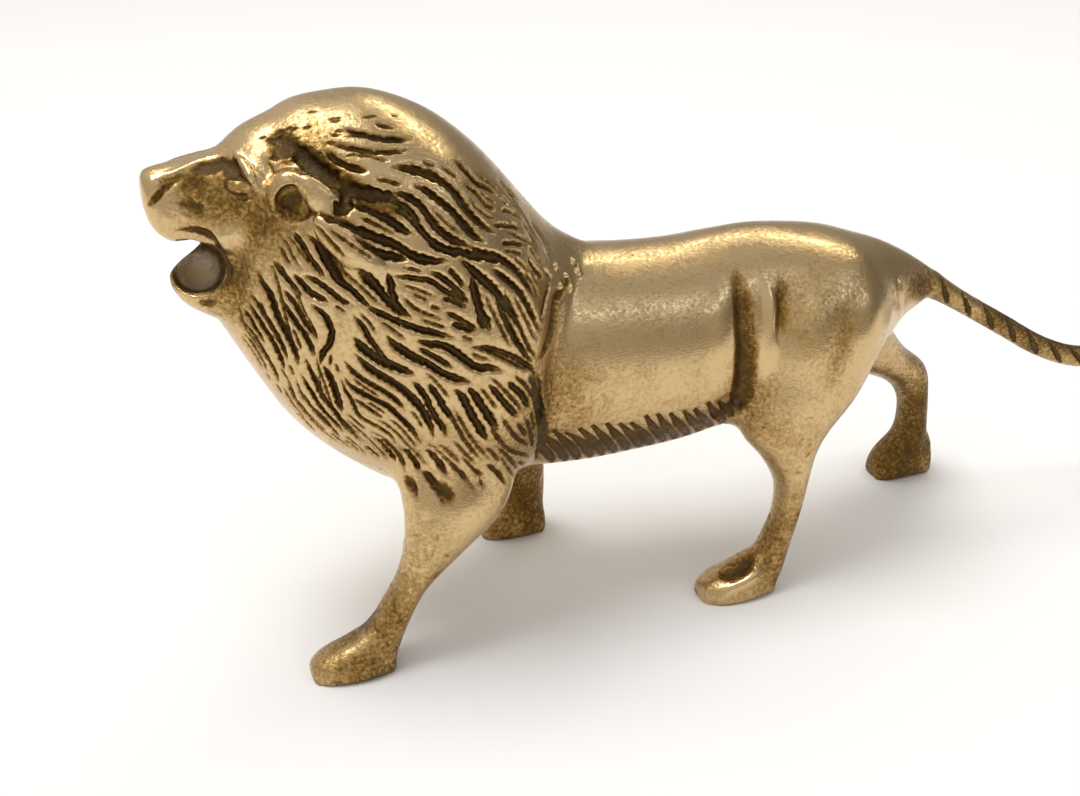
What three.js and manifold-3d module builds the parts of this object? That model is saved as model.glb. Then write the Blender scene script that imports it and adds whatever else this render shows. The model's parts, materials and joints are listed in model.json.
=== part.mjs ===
// A standing lion cast in brass in one piece, with its mouth open, a chased mane and a notched tail.
// Millimetres, +Z up, standing on z = 0. The lion looks along -X and its left side faces -Y.
import * as THREE from "three";
import { mergeVertices } from "three/addons/utils/BufferGeometryUtils.js";
import Module from "manifold-3d";

const wasm = await Module();
wasm.setup();
const { Manifold, Mesh } = wasm;

// Driving sizes, in millimetres.
const height = 100; // soles to the crown of the mane
const bodyWidth = 34.8;
const maneWidth = 48.4;
const muzzleWidth = 24; // where the muzzle meets the mane
const jawWidth = 18; // where the lower jaw meets the mane
const tailThickness = 4.4;
const shankThickness = 7; // of a leg above its paw, from side to side
const pawWidth = 10.4;
const earSize = 4.6;
const lockWidth = 1.7; // of a groove chased into the mane
const lockDepth = 1.1;
const fringeWidth = 2.6; // of a stroke under the belly
const fringeDepth = 0.8;
const fringePitch = 3.7;
const fringeStrokes = 10;
const notchWidth = 1.3; // of a notch in the tail
const notchDepth = 0.7;
const notchPitch = 6.6;
const tailNotches = 7;

// The tables give places in parts of the height. The crown lies this many parts above the soles.
const crown = 99.6;
const part = height / crown;

const left = -1;
const right = 1;

// Solids

const middleOf = (ring) => ring.reduce((sum, p) => sum.add(p), new THREE.Vector3()).divideScalar(ring.length);

// A closed skin over rings of points, each ring with the same count, and a point that closes each end.
function skin(rings, first = middleOf(rings[0]), last = middleOf(rings.at(-1))) {
  const around = rings[0].length;
  const positions = [];
  const faces = [];
  for (const p of rings.flat()) positions.push(p.x, p.y, p.z);
  positions.push(first.x, first.y, first.z, last.x, last.y, last.z);
  const start = rings.length * around;
  for (let k = 0; k < around; k++) {
    const next = (k + 1) % around;
    for (let r = 0; r + 1 < rings.length; r++) {
      const [a, b] = [r * around + k, r * around + next];
      faces.push(a, b, a + around, b, b + around, a + around);
    }
    const end = (rings.length - 1) * around;
    faces.push(start, next, k, start + 1, end + k, end + next);
  }
  const geometry = new THREE.BufferGeometry();
  geometry.setAttribute("position", new THREE.Float32BufferAttribute(positions, 3));
  geometry.setIndex(faces);
  return geometry;
}

// A solid from a closed geometry, with its faces turned outwards.
function solid(geometry) {
  const bare = geometry.clone();
  bare.deleteAttribute("normal");
  bare.deleteAttribute("uv");
  const merged = mergeVertices(bare, 1e-4);
  const made = new Manifold(
    new Mesh({
      numProp: 3,
      vertProperties: merged.attributes.position.array,
      triVerts: new Uint32Array(merged.index.array),
    }),
  );
  return made.volume() < 0 ? solid(flipped(merged)) : made;
}

function flipped(geometry) {
  const turned = geometry.clone();
  const index = turned.index.array;
  for (let i = 0; i < index.length; i += 3) [index[i + 1], index[i + 2]] = [index[i + 2], index[i + 1]];
  return turned;
}

function geometryOf(made) {
  const { vertProperties, triVerts } = made.getMesh();
  const geometry = new THREE.BufferGeometry();
  geometry.setAttribute("position", new THREE.BufferAttribute(vertProperties, 3));
  geometry.setIndex(new THREE.BufferAttribute(triVerts, 1));
  return geometry;
}

// A ring round a spine: 'lean' is the spine's direction in the side view, in degrees up from +X.
// 'square' is 2 for an ellipse and more for a squarer ring.
function ring({ x, y, z, side, up, down, lean, square }, around) {
  const angle = THREE.MathUtils.degToRad(lean);
  const rise = new THREE.Vector3(-Math.sin(angle), 0, Math.cos(angle));
  const bulge = (v) => Math.sign(v) * Math.abs(v) ** (2 / square);
  return Array.from({ length: around }, (_, k) => {
    const turn = (2 * Math.PI * (k + 0.5)) / around;
    const reach = bulge(Math.sin(turn)) * (Math.sin(turn) > 0 ? up : down);
    return new THREE.Vector3(x, y + side * bulge(Math.cos(turn)), z).addScaledVector(rise, reach);
  });
}

// Stations joined by smooth curves. Each value of a station runs along its own curve.
function loft(stations, rings, around) {
  const curve = (pick) => {
    const points = stations.map((station) => new THREE.Vector3(...pick(station)));
    return new THREE.CatmullRomCurve3(points, false, "catmullrom", 0.5);
  };
  const place = curve((s) => [s.x * part, s.y * part, s.z * part]);
  const size = curve((s) => [s.side, s.up * part, s.down * part]);
  const form = curve((s) => [s.lean, s.square, 0]);
  const made = Array.from({ length: rings + 1 }, (_, i) => {
    const [p, d, f] = [place, size, form].map((line) => line.getPoint(i / rings));
    return ring({ x: p.x, y: p.y, z: p.z, side: d.x, up: d.y, down: d.z, lean: f.x, square: f.y }, around);
  });
  return solid(skin(made));
}

// A station across the body, from its place along the body, its top and its bottom, its share of the
// full half width, and how far up from the bottom it is widest.
const across = (halfWidth) => ([x, top, bottom, share, widest = 0.5, square = 2]) => {
  const z = bottom + (top - bottom) * widest;
  return { x, y: 0, z, side: share * halfWidth, up: top - z, down: z - bottom, lean: 0, square };
};

// An egg-shaped solid, leant in the side view and then turned about the upright, in degrees.
function egg([x, y, z], [along, wide, up], [lean = 0, turn = 0] = []) {
  const sides = 8;
  const rows = 6;
  const geometry = new THREE.SphereGeometry(1, sides, rows).scale(along * part, wide * part, up * part);
  geometry.rotateY(-THREE.MathUtils.degToRad(lean)).rotateZ(THREE.MathUtils.degToRad(turn));
  return solid(geometry.translate(x * part, y * part, z * part));
}

// The same solid on the left and on the right: 'make' takes the side, -1 for the left.
const both = (make) => [make(left), make(right)];

// Body

const torso = loft(
  [
    [-40, 66, 30, 0.7],
    [-28, 68, 27.6, 0.92],
    [-15, 68.2, 26.9, 0.99],
    [-4, 67.2, 27.5, 1],
    [5, 67, 28.3, 0.98],
    [13, 67.7, 29.5, 0.89],
    [21, 68.1, 31, 0.87],
    [29, 67.6, 33, 0.89],
    [37, 66.3, 36, 0.83],
    [45, 63.4, 40, 0.66],
    [51, 60.3, 45.5, 0.43],
    [57, 56.5, 48.5, 0.26],
  ].map(across(bodyWidth / 2)),
  12,
  16,
);

const mane = loft(
  [
    [-77.4, 65, 62.2, 0.08],
    [-75.4, 74, 58.4, 0.29, 0.45],
    [-72, 88.5, 52, 0.5, 0.45],
    [-68, 95.4, 45, 0.64, 0.45],
    [-63, 98.7, 39, 0.77, 0.45],
    [-57, 99.6, 33.8, 0.88, 0.45],
    [-51, 99.6, 29.6, 0.95, 0.45],
    [-45, 97.8, 27, 0.99, 0.45],
    [-39, 94.6, 26, 1, 0.45],
    [-33, 89.6, 26, 0.975, 0.45],
    [-28, 84, 27, 0.87, 0.45],
    [-24, 79, 28.5, 0.72, 0.45],
    [-19, 73.2, 32, 0.54, 0.55],
    [-14, 69.6, 36, 0.4, 0.6],
    [-8, 66.8, 42, 0.22, 0.6],
  ].map(across(maneWidth / 2)),
  15,
  20,
);

const muzzle = loft(
  [
    [-87.9, 88.4, 84.4, 0.18],
    [-87, 89.6, 80.6, 0.32, 0.34, 2.4],
    [-84.6, 90.1, 77.9, 0.42, 0.3, 2.4],
    [-80.4, 90.8, 76.8, 0.48, 0.3, 2.4],
    [-75.6, 91.8, 74.6, 0.62, 0.32, 2.2],
    [-71, 95.2, 72, 0.86, 0.4],
    [-64, 98, 68, 1],
  ].map(across(muzzleWidth / 2)),
  9,
  14,
);

const jaw = loft(
  [
    [-84.7, 71.4, 69.2, 0.2],
    [-82.8, 73, 66.4, 0.54],
    [-79.4, 75.5, 64, 0.72],
    [-75.4, 78, 62, 0.88],
    [-70.4, 78, 60, 1],
  ].map(across(jawWidth / 2)),
  5,
  12,
);

const brows = both((side) => egg([-70.6, 8.6 * side, 88.8], [4, 1.6, 1.5], [-38, 50 * side]));
const eyes = both((side) => egg([-73.4, 7.2 * side, 87.6], [1.8, 1.4, 1.2], [-12, 30 * side]));

// An ear is a cup with a flap that folds back from its rear edge.
const earFlaps = both((side) => egg([-61.6, 14.6 * side, 86.6], [5, 1.7, 2.2], [-44, 20 * side]));
const earCups = both((side) => egg([-65.4, 11.8 * side, 86.6], [earSize, 3, earSize], [-20, 24 * side]));
const cheeks = both((side) => egg([-74.4, 5.8 * side, 79.6], [3.8, 2.9, 3.4], [-16, 12 * side]));
const leafLocks = both((side) => egg([-58, 18.6 * side, 79.6], [7.6, 2.4, 3], [-44, 18 * side]));

const tail = loft(
  [
    [44, 57.6, 2.95, -16],
    [51, 55.7, 2.25, -26],
    [57, 53.1, 1.55, -32],
    [62, 50.2, 1.14, -35],
    [68, 46.4, 1, -34],
    [77, 40.8, 1, -33],
    [87, 34.6, 1, -29],
    [96, 31, 1.04, -13],
    [104, 30.6, 1.05, 8],
    [111, 33.6, 1.22, 32],
    [116.5, 38.6, 1.64, 52],
    [120, 45.4, 1.27, 66],
    [121.6, 50, 0.32, 72],
  ].map(([x, z, share, lean]) => {
    const half = (share * tailThickness) / 2;
    return { x, y: 0, z, side: half, up: half, down: half, lean, square: 2 };
  }),
  17,
  8,
);

// Legs run down from the body. A station gives the place, the half thickness to the side in shares of
// the shank's, the half depth in the side view, and the lean.
const leg = (stations, rings) => {
  const station = ([x, y, z, share, deep, lean]) => {
    const side = (share * shankThickness) / 2;
    return { x, y, z, side, up: deep, down: deep, lean, square: 2 };
  };
  return loft(stations.map(station), rings, 9);
};

// A paw runs from its toes to its heel: the place along the figure, the top and the share of the width.
const paw = (y, stations) => {
  const station = ([x, top, share]) => ({ ...across(pawWidth / 2)([x, top, -0.6, share, 0.3, 2.4]), y });
  return loft(stations.map(station), 5, 10);
};

const leftForeLeg = leg(
  [
    [-38, -9, 49, 1.9, 10, 90],
    [-39.6, -10.6, 42.4, 2.1, 12.4, 88],
    [-40.8, -12.8, 36.4, 2, 12, 82],
    [-42, -15.8, 30.4, 1.8, 9.9, 70],
    [-46, -18, 23.8, 1.4, 5.8, 60],
    [-50, -18.4, 17, 1.08, 3.1, 54],
    [-53.6, -18.5, 10.7, 1, 3.1, 56],
    [-56.5, -18.5, 5.5, 1.2, 3.8, 60],
    [-57.5, -18.5, 2.6, 1.25, 3.6, 80],
  ],
  10,
);
const leftForePaw = paw(-18.5, [
  [-69.2, 3, 0.5],
  [-66.4, 4.6, 0.86],
  [-62, 6.2, 1],
  [-58, 8.2, 0.94],
  [-54.2, 6, 0.66],
]);

const leftHindLeg = leg(
  [
    [34, -5, 65, 1.3, 6, 90],
    [33, -7.4, 60, 2, 11, 90],
    [31.6, -8.8, 55, 2.5, 14.2, 90],
    [30, -9.6, 49.6, 2.64, 15, 90],
    [28.4, -10.5, 44, 2.55, 13.6, 90],
    [26, -12, 38, 2.3, 12, 90],
    [23.4, -13.6, 32.5, 1.85, 9, 90],
    [23.6, -14.8, 28, 1.55, 5.4, 94],
    [24.2, -15.5, 22, 1.2, 3.1, 94],
    [23.4, -16, 16, 1, 2.6, 84],
    [21.6, -16.2, 10.5, 1, 2.8, 74],
    [19.8, -16.2, 5.5, 1.15, 3.3, 74],
    [18.8, -16.2, 2.6, 1.2, 3.2, 85],
  ],
  12,
);
const leftHindPaw = paw(-16.2, [
  [6, 3, 0.5],
  [8.8, 4.6, 0.88],
  [13, 6, 1],
  [17.4, 8.2, 0.9],
  [21, 6, 0.64],
]);

const rightForeLeg = leg(
  [
    [-32, 10, 48, 2.6, 12, 90],
    [-29, 13.5, 38, 2.4, 12, 100],
    [-24.5, 16.5, 29, 2, 9.5, 108],
    [-20, 18.6, 20, 1.42, 6.2, 108],
    [-18, 19.4, 12, 1.2, 4.6, 98],
    [-18, 19.5, 6, 1.2, 4.4, 90],
    [-18.2, 19.5, 2.5, 1.25, 4.4, 90],
  ],
  9,
);
const rightForePaw = paw(19.5, [
  [-27, 3.2, 0.5],
  [-24.6, 4.8, 0.8],
  [-21, 6.6, 0.92],
  [-17, 8, 0.88],
  [-13.6, 5, 0.62],
]);

const rightHindLeg = leg(
  [
    [33, 5, 64, 1.4, 7, 90],
    [34.6, 7.4, 56, 2.3, 13, 98],
    [40, 9.8, 45.6, 2.44, 12, 117],
    [50.4, 12.5, 36.8, 2, 8, 134],
    [61, 15, 28.8, 1.48, 4.4, 136],
    [67, 16.2, 24, 1.26, 4.2, 118],
    [69.3, 16.8, 18, 1.14, 3.2, 96],
    [69.8, 17, 12.5, 1.14, 3.2, 92],
    [69.4, 17, 8, 1.26, 3.9, 90],
    [68.4, 17, 3, 1.3, 5, 90],
  ],
  10,
);
const rightHindPaw = paw(17, [
  [61.2, 3.6, 0.55],
  [63, 6.2, 0.8],
  [66, 9.2, 0.9],
  [69.5, 12, 0.88],
  [74, 9, 0.7],
]);

// Hollows

const eyeSockets = both((side) => egg([-74, 8.4 * side, 88], [3.4, 2.6, 2.4], [-14, 30 * side]));
const earHollows = both((side) => egg([-65.6, 14 * side, 86.2], [0.68 * earSize, 2.6, 0.68 * earSize], [-20, 24 * side]));
const jawScoop = egg([-80.4, -3, 73.8], [5, 6.2, 5], [-20]);

// Grooves

const maneMiddle = new THREE.Vector3(-48, 0, 62);
const chartScale = 25; // parts of the chart to a radian about the middle of the mane

function surfaceFinder(made) {
  const target = new THREE.Mesh(geometryOf(made), new THREE.MeshBasicMaterial({ side: THREE.DoubleSide }));
  const caster = new THREE.Raycaster();
  return (from, direction) => {
    caster.set(from, direction);
    return caster.intersectObject(target)[0].point;
  };
}

// A place on the mane from its place on a chart: 'aft' and 'rise' count from the middle of the flank.
function chartDirection(aft, rise, side) {
  const distance = Math.hypot(aft, rise);
  const angle = distance / chartScale;
  const spread = distance > 0 ? Math.sin(angle) / distance : 0;
  return new THREE.Vector3(aft * spread, side * Math.cos(angle), rise * spread).normalize();
}

// A cutter for a groove of V section that runs out to a point at both ends: 'stops' are places on the
// surface, each with the direction out of the surface.
function grooveCutter(stops, width, depth) {
  const clear = 0.8; // how far the cutter stands out of the surface
  const half = (width / 2) * (1 + clear / depth);
  const ends = [stops[0], stops.at(-1)].map(({ at, out }) => at.clone().addScaledVector(out, clear / 8));
  const rings = stops.slice(1, -1).map(({ at, out }, i) => {
    const aside = new THREE.Vector3().subVectors(stops[i + 2].at, stops[i].at).cross(out).normalize();
    const top = at.clone().addScaledVector(out, clear);
    return [
      at.clone().addScaledVector(out, -depth),
      top.clone().addScaledVector(aside, half),
      top.clone().addScaledVector(aside, -half),
    ];
  });
  return solid(skin(rings, ...ends));
}

// The locks of the mane on the chart. Each has a root, a tip, a bow to the side of the straight line
// between them, the spread across its strands, and the count of its strands.
const locks = [
  { root: [-9, 33], tip: [4, 31], bow: 0.6, spread: 0, strands: 1 },
  { root: [-14, 29], tip: [-3, 26.6], bow: 1, spread: 2.4, strands: 2 },
  { root: [-1, 29], tip: [15, 19], bow: 1.4, spread: 3.4, strands: 2 },
  { root: [-9, 24], tip: [6, 16.4], bow: 2.2, spread: 6.4, strands: 3 },
  { root: [6, 27.5], tip: [20, 18], bow: 1.6, spread: 5, strands: 2 },
  { root: [-5, 14], tip: [4, 11], bow: 0.8, spread: 0, strands: 1 },
  { root: [9, 14.6], tip: [20, -2.6], bow: 1.4, spread: 6, strands: 3 },
  { root: [16, 15], tip: [25, 3.6], bow: 1.6, spread: 4.6, strands: 2 },
  { root: [3, 9.4], tip: [11, 2.4], bow: 0.6, spread: 3.6, strands: 2 },
  { root: [-18, 20], tip: [-11.6, 11], bow: -1, spread: 4.4, strands: 2 },
  { root: [-10, 15], tip: [-2, 6.6], bow: 0.4, spread: 0, strands: 1 },
  { root: [-23, 13], tip: [-15.4, 3], bow: 0.8, spread: 6, strands: 3 },
  { root: [-31, 9], tip: [-25.4, -7], bow: 1, spread: 6, strands: 3 },
  { root: [-12, 9], tip: [4, 0.6], bow: -1.2, spread: 3.8, strands: 2 },
  { root: [0, 4.4], tip: [15, -4], bow: 0.8, spread: 3.8, strands: 2 },
  { root: [-12.6, 4], tip: [0, -5.4], bow: -0.8, spread: 3, strands: 2 },
  { root: [-14.4, -2], tip: [-4, -12], bow: -1.4, spread: 6, strands: 3 },
  { root: [-4, -5], tip: [5, -18], bow: 1.2, spread: 5.6, strands: 2 },
  { root: [6, -6.4], tip: [14.6, -16.4], bow: 1, spread: 7.4, strands: 3 },
  { root: [-22, -5], tip: [-15, -18], bow: -1.2, spread: 5, strands: 2 },
  { root: [-12.6, -11], tip: [-3, -21], bow: -1, spread: 5.6, strands: 2 },
  { root: [-28, -9], tip: [-20, -22], bow: -1.4, spread: 5, strands: 2 },
];

// A point of a strand at 't' from root to tip. Strands bow most in the middle.
function strandPoint({ root, tip, bow }, shift, t) {
  const [aft, rise] = [tip[0] - root[0], tip[1] - root[1]];
  const long = Math.hypot(aft, rise);
  const aside = shift + bow * Math.sin(Math.PI * t);
  return [root[0] + aft * t - (rise / long) * aside, root[1] + rise * t + (aft / long) * aside];
}

function maneGrooves(side) {
  const onMane = surfaceFinder(mane);
  const middle = maneMiddle.clone().multiplyScalar(part);
  const stops = 4;
  return locks.flatMap((lock) =>
    Array.from({ length: lock.strands }, (_, k) => {
      const shift = lock.strands > 1 ? (k / (lock.strands - 1) - 0.5) * lock.spread : 0;
      const stagger = 0.1 * (k % 2);
      const line = Array.from({ length: stops }, (_, i) => {
        const t = stagger + (i / (stops - 1)) * (1 - 0.1);
        const out = chartDirection(...strandPoint(lock, shift, t), side);
        return { at: onMane(middle, out), out };
      });
      return grooveCutter(line, lockWidth, lockDepth);
    }),
  );
}

// Strokes under the belly slant down and back, each from the flank to the belly's edge.
function fringe(side) {
  const onTorso = surfaceFinder(torso);
  const axisHeight = 48 * part;
  const start = -23 * part;
  const stops = [
    [-0.6, -30],
    [1.8, -47],
    [4.8, -66],
  ];
  return Array.from({ length: fringeStrokes }, (_, k) => {
    const line = stops.map(([aft, dip]) => {
      const angle = THREE.MathUtils.degToRad(dip);
      const from = new THREE.Vector3(start + k * fringePitch + aft * part, 0, axisHeight);
      const out = new THREE.Vector3(0, side * Math.cos(angle), Math.sin(angle));
      return { at: onTorso(from, out), out };
    });
    return grooveCutter(line, fringeWidth, fringeDepth);
  });
}

// Notches slant across each side of the tail.
function notches(side) {
  const onTail = surfaceFinder(tail);
  const line = new THREE.CatmullRomCurve3(
    [
      [62, 50],
      [77, 40.8],
      [96, 31],
      [104, 30.6],
      [116.5, 38.6],
    ].map(([x, z]) => new THREE.Vector3(x * part, 0, z * part)),
  );
  const slant = 0.28 * tailThickness;
  return Array.from({ length: tailNotches }, (_, k) => {
    const at = ((k + 0.5) * notchPitch) / line.getLength();
    const [from, along] = [line.getPointAt(at), line.getTangentAt(at)];
    const rise = new THREE.Vector3(-along.z, 0, along.x);
    const stops = [0.9, 0, -1].map((angle) => {
      const out = new THREE.Vector3(0, side * Math.cos(angle), 0).addScaledVector(rise, Math.sin(angle));
      const base = from.clone().addScaledVector(along, -slant * angle);
      return { at: onTail(base, out), out };
    });
    return grooveCutter(stops, notchWidth, notchDepth);
  });
}

// Figure

const added = [torso, mane, muzzle, jaw, tail, ...brows, ...earCups, ...earFlaps, ...leafLocks];
const legs = [leftForeLeg, leftForePaw, leftHindLeg, leftHindPaw, rightForeLeg, rightForePaw, rightHindLeg, rightHindPaw];
const hollows = [...eyeSockets, ...earHollows, jawScoop];
const grooves = [left, right].flatMap((side) => [...maneGrooves(side), ...fringe(side), ...notches(side)]);
const uncut = Manifold.union([...added, ...legs]).subtract(Manifold.union(hollows));
const carved = Manifold.union([uncut, ...eyes, ...cheeks]).subtract(Manifold.union(grooves));
const standing = carved.trimByPlane([0, 0, 1], 0);
const { min, max } = standing.boundingBox();
const placed = standing.translate([-(min[0] + max[0]) / 2, -(min[1] + max[1]) / 2, 0]);

const brass = new THREE.MeshStandardMaterial({ color: 0xb08d4f, roughness: 0.35, metalness: 1 });
const lion = new THREE.Mesh(geometryOf(placed), brass);
lion.name = "lion";
const figurine = new THREE.Group();
figurine.add(lion);
export default figurine;
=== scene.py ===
"""The looks of a cast brass lion: a fine mesh with the chased mane, and brass with dark patina."""

import json
import math

import bmesh
import bpy
import numpy as np
from mathutils import Matrix, Vector

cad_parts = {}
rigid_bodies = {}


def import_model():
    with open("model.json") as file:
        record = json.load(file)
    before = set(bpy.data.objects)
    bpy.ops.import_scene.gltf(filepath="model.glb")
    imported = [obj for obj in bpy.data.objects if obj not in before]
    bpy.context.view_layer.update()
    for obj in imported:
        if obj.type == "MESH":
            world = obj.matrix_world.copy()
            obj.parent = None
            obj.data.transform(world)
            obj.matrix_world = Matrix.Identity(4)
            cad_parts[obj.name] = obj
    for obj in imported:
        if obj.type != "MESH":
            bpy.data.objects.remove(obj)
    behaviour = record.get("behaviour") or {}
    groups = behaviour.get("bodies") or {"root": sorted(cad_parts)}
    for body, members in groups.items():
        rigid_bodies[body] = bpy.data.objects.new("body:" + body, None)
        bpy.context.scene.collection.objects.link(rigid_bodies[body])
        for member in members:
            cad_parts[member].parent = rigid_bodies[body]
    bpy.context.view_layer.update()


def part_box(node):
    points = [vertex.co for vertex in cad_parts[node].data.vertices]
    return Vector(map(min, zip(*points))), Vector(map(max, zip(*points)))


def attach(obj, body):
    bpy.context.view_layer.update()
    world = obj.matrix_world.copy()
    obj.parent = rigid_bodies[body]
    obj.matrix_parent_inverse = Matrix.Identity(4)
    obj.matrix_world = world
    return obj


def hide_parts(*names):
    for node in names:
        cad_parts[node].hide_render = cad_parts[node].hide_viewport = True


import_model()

# Sizes in millimetres. The tables below are in parts of the height.
HEIGHT = 100.0
CROWN = 99.6
PART = HEIGHT / CROWN
NOSE = -87.9
BODY_WIDTH = 34.8
MANE_WIDTH = 48.4
MUZZLE_WIDTH = 24.0
JAW_WIDTH = 18.0
TAIL_THICKNESS = 4.4
SHANK_THICKNESS = 7.0
PAW_WIDTH = 10.4
EAR_SIZE = 4.6
EAR_HOLLOW = 0.68 * EAR_SIZE
METRE = 0.001
SIDES = (-1, 1)
COARSE_VOXEL = 0.9
VOXEL = 0.34
TRIANGLES = 196000
HORIZON = "#C6C0B6"
ZENITH = "#DDDEE0"
PAPER = "#F4F3F1"
# Shades from bare metal to thick patina, each at a share of the patina's greatest depth. The painted shade
# under the ear flaps and the mane's rim takes the dark shades, and the painted highlight on the brow's facets
# takes the bare metal.
PATINA_AND_PAINTED_LIGHT_LAYERS = {
    "rubbed brass": (0, "#CFB384"),
    "worn brass": (0.12, "#AC8B58"),
    "warm brown": (0.25, "#7A5C29"),
    "dark brown": (0.39, "#5A4528"),
    "olive brown": (0.62, "#635338"),
    "dust": (0.95, "#A79A85"),
}
# Grain of the brass in millimetres: clouds and specks of patina, and marks of rubbing.
CLOUD_SIZE = 8
SPECK_SIZE = 0.7
MARK_SIZE = 0.3
# Soft lights: place and aim in metres, width and height, watts and tint.
LIGHTS = {
    "overhead softbox": ((-0.3, 0.06, 1), (0, 0, 0.03), (0.6, 0.4), 5.7, "#FFFFFF"),
    "warm strip": ((0.54, 0.45, 0.84), (0, 0, 0.06), (0.8, 0.12), 1.9, "#FFF8E6"),
    "cold window": ((0.52, -0.58, 0.78), (0, 0, 0.05), (0.8, 0.12), 0.62, "#DCE8FF"),
}
FLOOR_HALF = 4
SENSOR_WIDTH = 36
LENS = SENSOR_WIDTH * 1600 / 1080
CAMERA_PLACE = (-103.515, -252.485, 168.595)
CAMERA_AIM = (0.28073, 0.85383, -0.43837)
CAMERA_RIGHT = (0.94997, -0.31234, 0)
CAMERA_UP = (0.13692, 0.41644, 0.89879)
rng = np.random.default_rng(7)

# Stations across the body: x, top, bottom and share of the width, then the height of the widest
# place between bottom and top, and the squareness, where they aren't 0.5 and 2.
TORSO = [
    (-40, 66, 30, 0.7),
    (-28, 68, 27.6, 0.92),
    (-15, 68.2, 26.9, 0.99),
    (-4, 67.2, 27.5, 1),
    (5, 67, 28.3, 0.98),
    (13, 67.7, 29.5, 0.89),
    (21, 68.1, 31, 0.87),
    (29, 67.6, 33, 0.89),
    (37, 66.3, 36, 0.83),
    (45, 63.4, 40, 0.66),
    (51, 60.3, 45.5, 0.43),
    (57, 56.5, 48.5, 0.26),
]
MANE = [
    (-77.4, 65, 62.2, 0.08),
    (-75.4, 74, 58.4, 0.29, 0.45),
    (-72, 88.5, 52, 0.5, 0.45),
    (-68, 95.4, 45, 0.64, 0.45),
    (-63, 98.7, 39, 0.77, 0.45),
    (-57, 99.6, 33.8, 0.88, 0.45),
    (-51, 99.6, 29.6, 0.95, 0.45),
    (-45, 97.8, 27, 0.99, 0.45),
    (-39, 94.6, 26, 1, 0.45),
    (-33, 89.6, 26, 0.975, 0.45),
    (-28, 84, 27, 0.87, 0.45),
    (-24, 79, 28.5, 0.72, 0.45),
    (-19, 73.2, 32, 0.54, 0.55),
    (-14, 69.6, 36, 0.4, 0.6),
    (-8, 66.8, 42, 0.22, 0.6),
]
MUZZLE = [
    (-87.9, 88.4, 84.4, 0.18),
    (-87, 89.6, 80.6, 0.32, 0.34, 2.4),
    (-84.6, 90.1, 77.9, 0.42, 0.3, 2.4),
    (-80.4, 90.8, 76.8, 0.48, 0.3, 2.4),
    (-75.6, 91.8, 74.6, 0.62, 0.32, 2.2),
    (-71, 95.2, 72, 0.86, 0.4),
    (-64, 98, 68, 1),
]
JAW = [
    (-84.7, 71.4, 69.2, 0.2),
    (-82.8, 73, 66.4, 0.54),
    (-79.4, 75.5, 64, 0.72),
    (-75.4, 78, 62, 0.88),
    (-70.4, 78, 60, 1),
]
# Stations along the tail: x, z, share of the thickness and lean.
TAIL = [
    (44, 57.6, 2.95, -16),
    (51, 55.7, 2.25, -26),
    (57, 53.1, 1.55, -32),
    (62, 50.2, 1.14, -35),
    (68, 46.4, 1, -34),
    (77, 40.8, 1, -33),
    (87, 34.6, 1, -29),
    (96, 31, 1.04, -13),
    (104, 30.6, 1.05, 8),
    (111, 33.6, 1.22, 32),
    (116.5, 38.6, 1.64, 52),
    (120, 45.4, 1.27, 66),
    (121.6, 50, 0.32, 72),
]
# Stations along the legs: x, y, z, share of the thickness, half depth and lean.
LEGS = {
    "left fore": [
        (-38, -9, 49, 1.9, 10, 90),
        (-39.6, -10.6, 42.4, 2.1, 12.4, 88),
        (-40.8, -12.8, 36.4, 2, 12, 82),
        (-42, -15.8, 30.4, 1.8, 9.9, 70),
        (-46, -18, 23.8, 1.4, 5.8, 60),
        (-50, -18.4, 17, 1.08, 3.1, 54),
        (-53.6, -18.5, 10.7, 1, 3.1, 56),
        (-56.5, -18.5, 5.5, 1.2, 3.8, 60),
        (-57.5, -18.5, 2.6, 1.25, 3.6, 80),
    ],
    "left hind": [
        (34, -5, 65, 1.3, 6, 90),
        (33, -7.4, 60, 2, 11, 90),
        (31.6, -8.8, 55, 2.5, 14.2, 90),
        (30, -9.6, 49.6, 2.64, 15, 90),
        (28.4, -10.5, 44, 2.55, 13.6, 90),
        (26, -12, 38, 2.3, 12, 90),
        (23.4, -13.6, 32.5, 1.85, 9, 90),
        (23.6, -14.8, 28, 1.55, 5.4, 94),
        (24.2, -15.5, 22, 1.2, 3.1, 94),
        (23.4, -16, 16, 1, 2.6, 84),
        (21.6, -16.2, 10.5, 1, 2.8, 74),
        (19.8, -16.2, 5.5, 1.15, 3.3, 74),
        (18.8, -16.2, 2.6, 1.2, 3.2, 85),
    ],
    "right fore": [
        (-32, 10, 48, 2.6, 12, 90),
        (-29, 13.5, 38, 2.4, 12, 100),
        (-24.5, 16.5, 29, 2, 9.5, 108),
        (-20, 18.6, 20, 1.42, 6.2, 108),
        (-18, 19.4, 12, 1.2, 4.6, 98),
        (-18, 19.5, 6, 1.2, 4.4, 90),
        (-18.2, 19.5, 2.5, 1.25, 4.4, 90),
    ],
    "right hind": [
        (33, 5, 64, 1.4, 7, 90),
        (34.6, 7.4, 56, 2.3, 13, 98),
        (40, 9.8, 45.6, 2.44, 12, 117),
        (50.4, 12.5, 36.8, 2, 8, 134),
        (61, 15, 28.8, 1.48, 4.4, 136),
        (67, 16.2, 24, 1.26, 4.2, 118),
        (69.3, 16.8, 18, 1.14, 3.2, 96),
        (69.8, 17, 12.5, 1.14, 3.2, 92),
        (69.4, 17, 8, 1.26, 3.9, 90),
        (68.4, 17, 3, 1.3, 5, 90),
    ],
}
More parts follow.
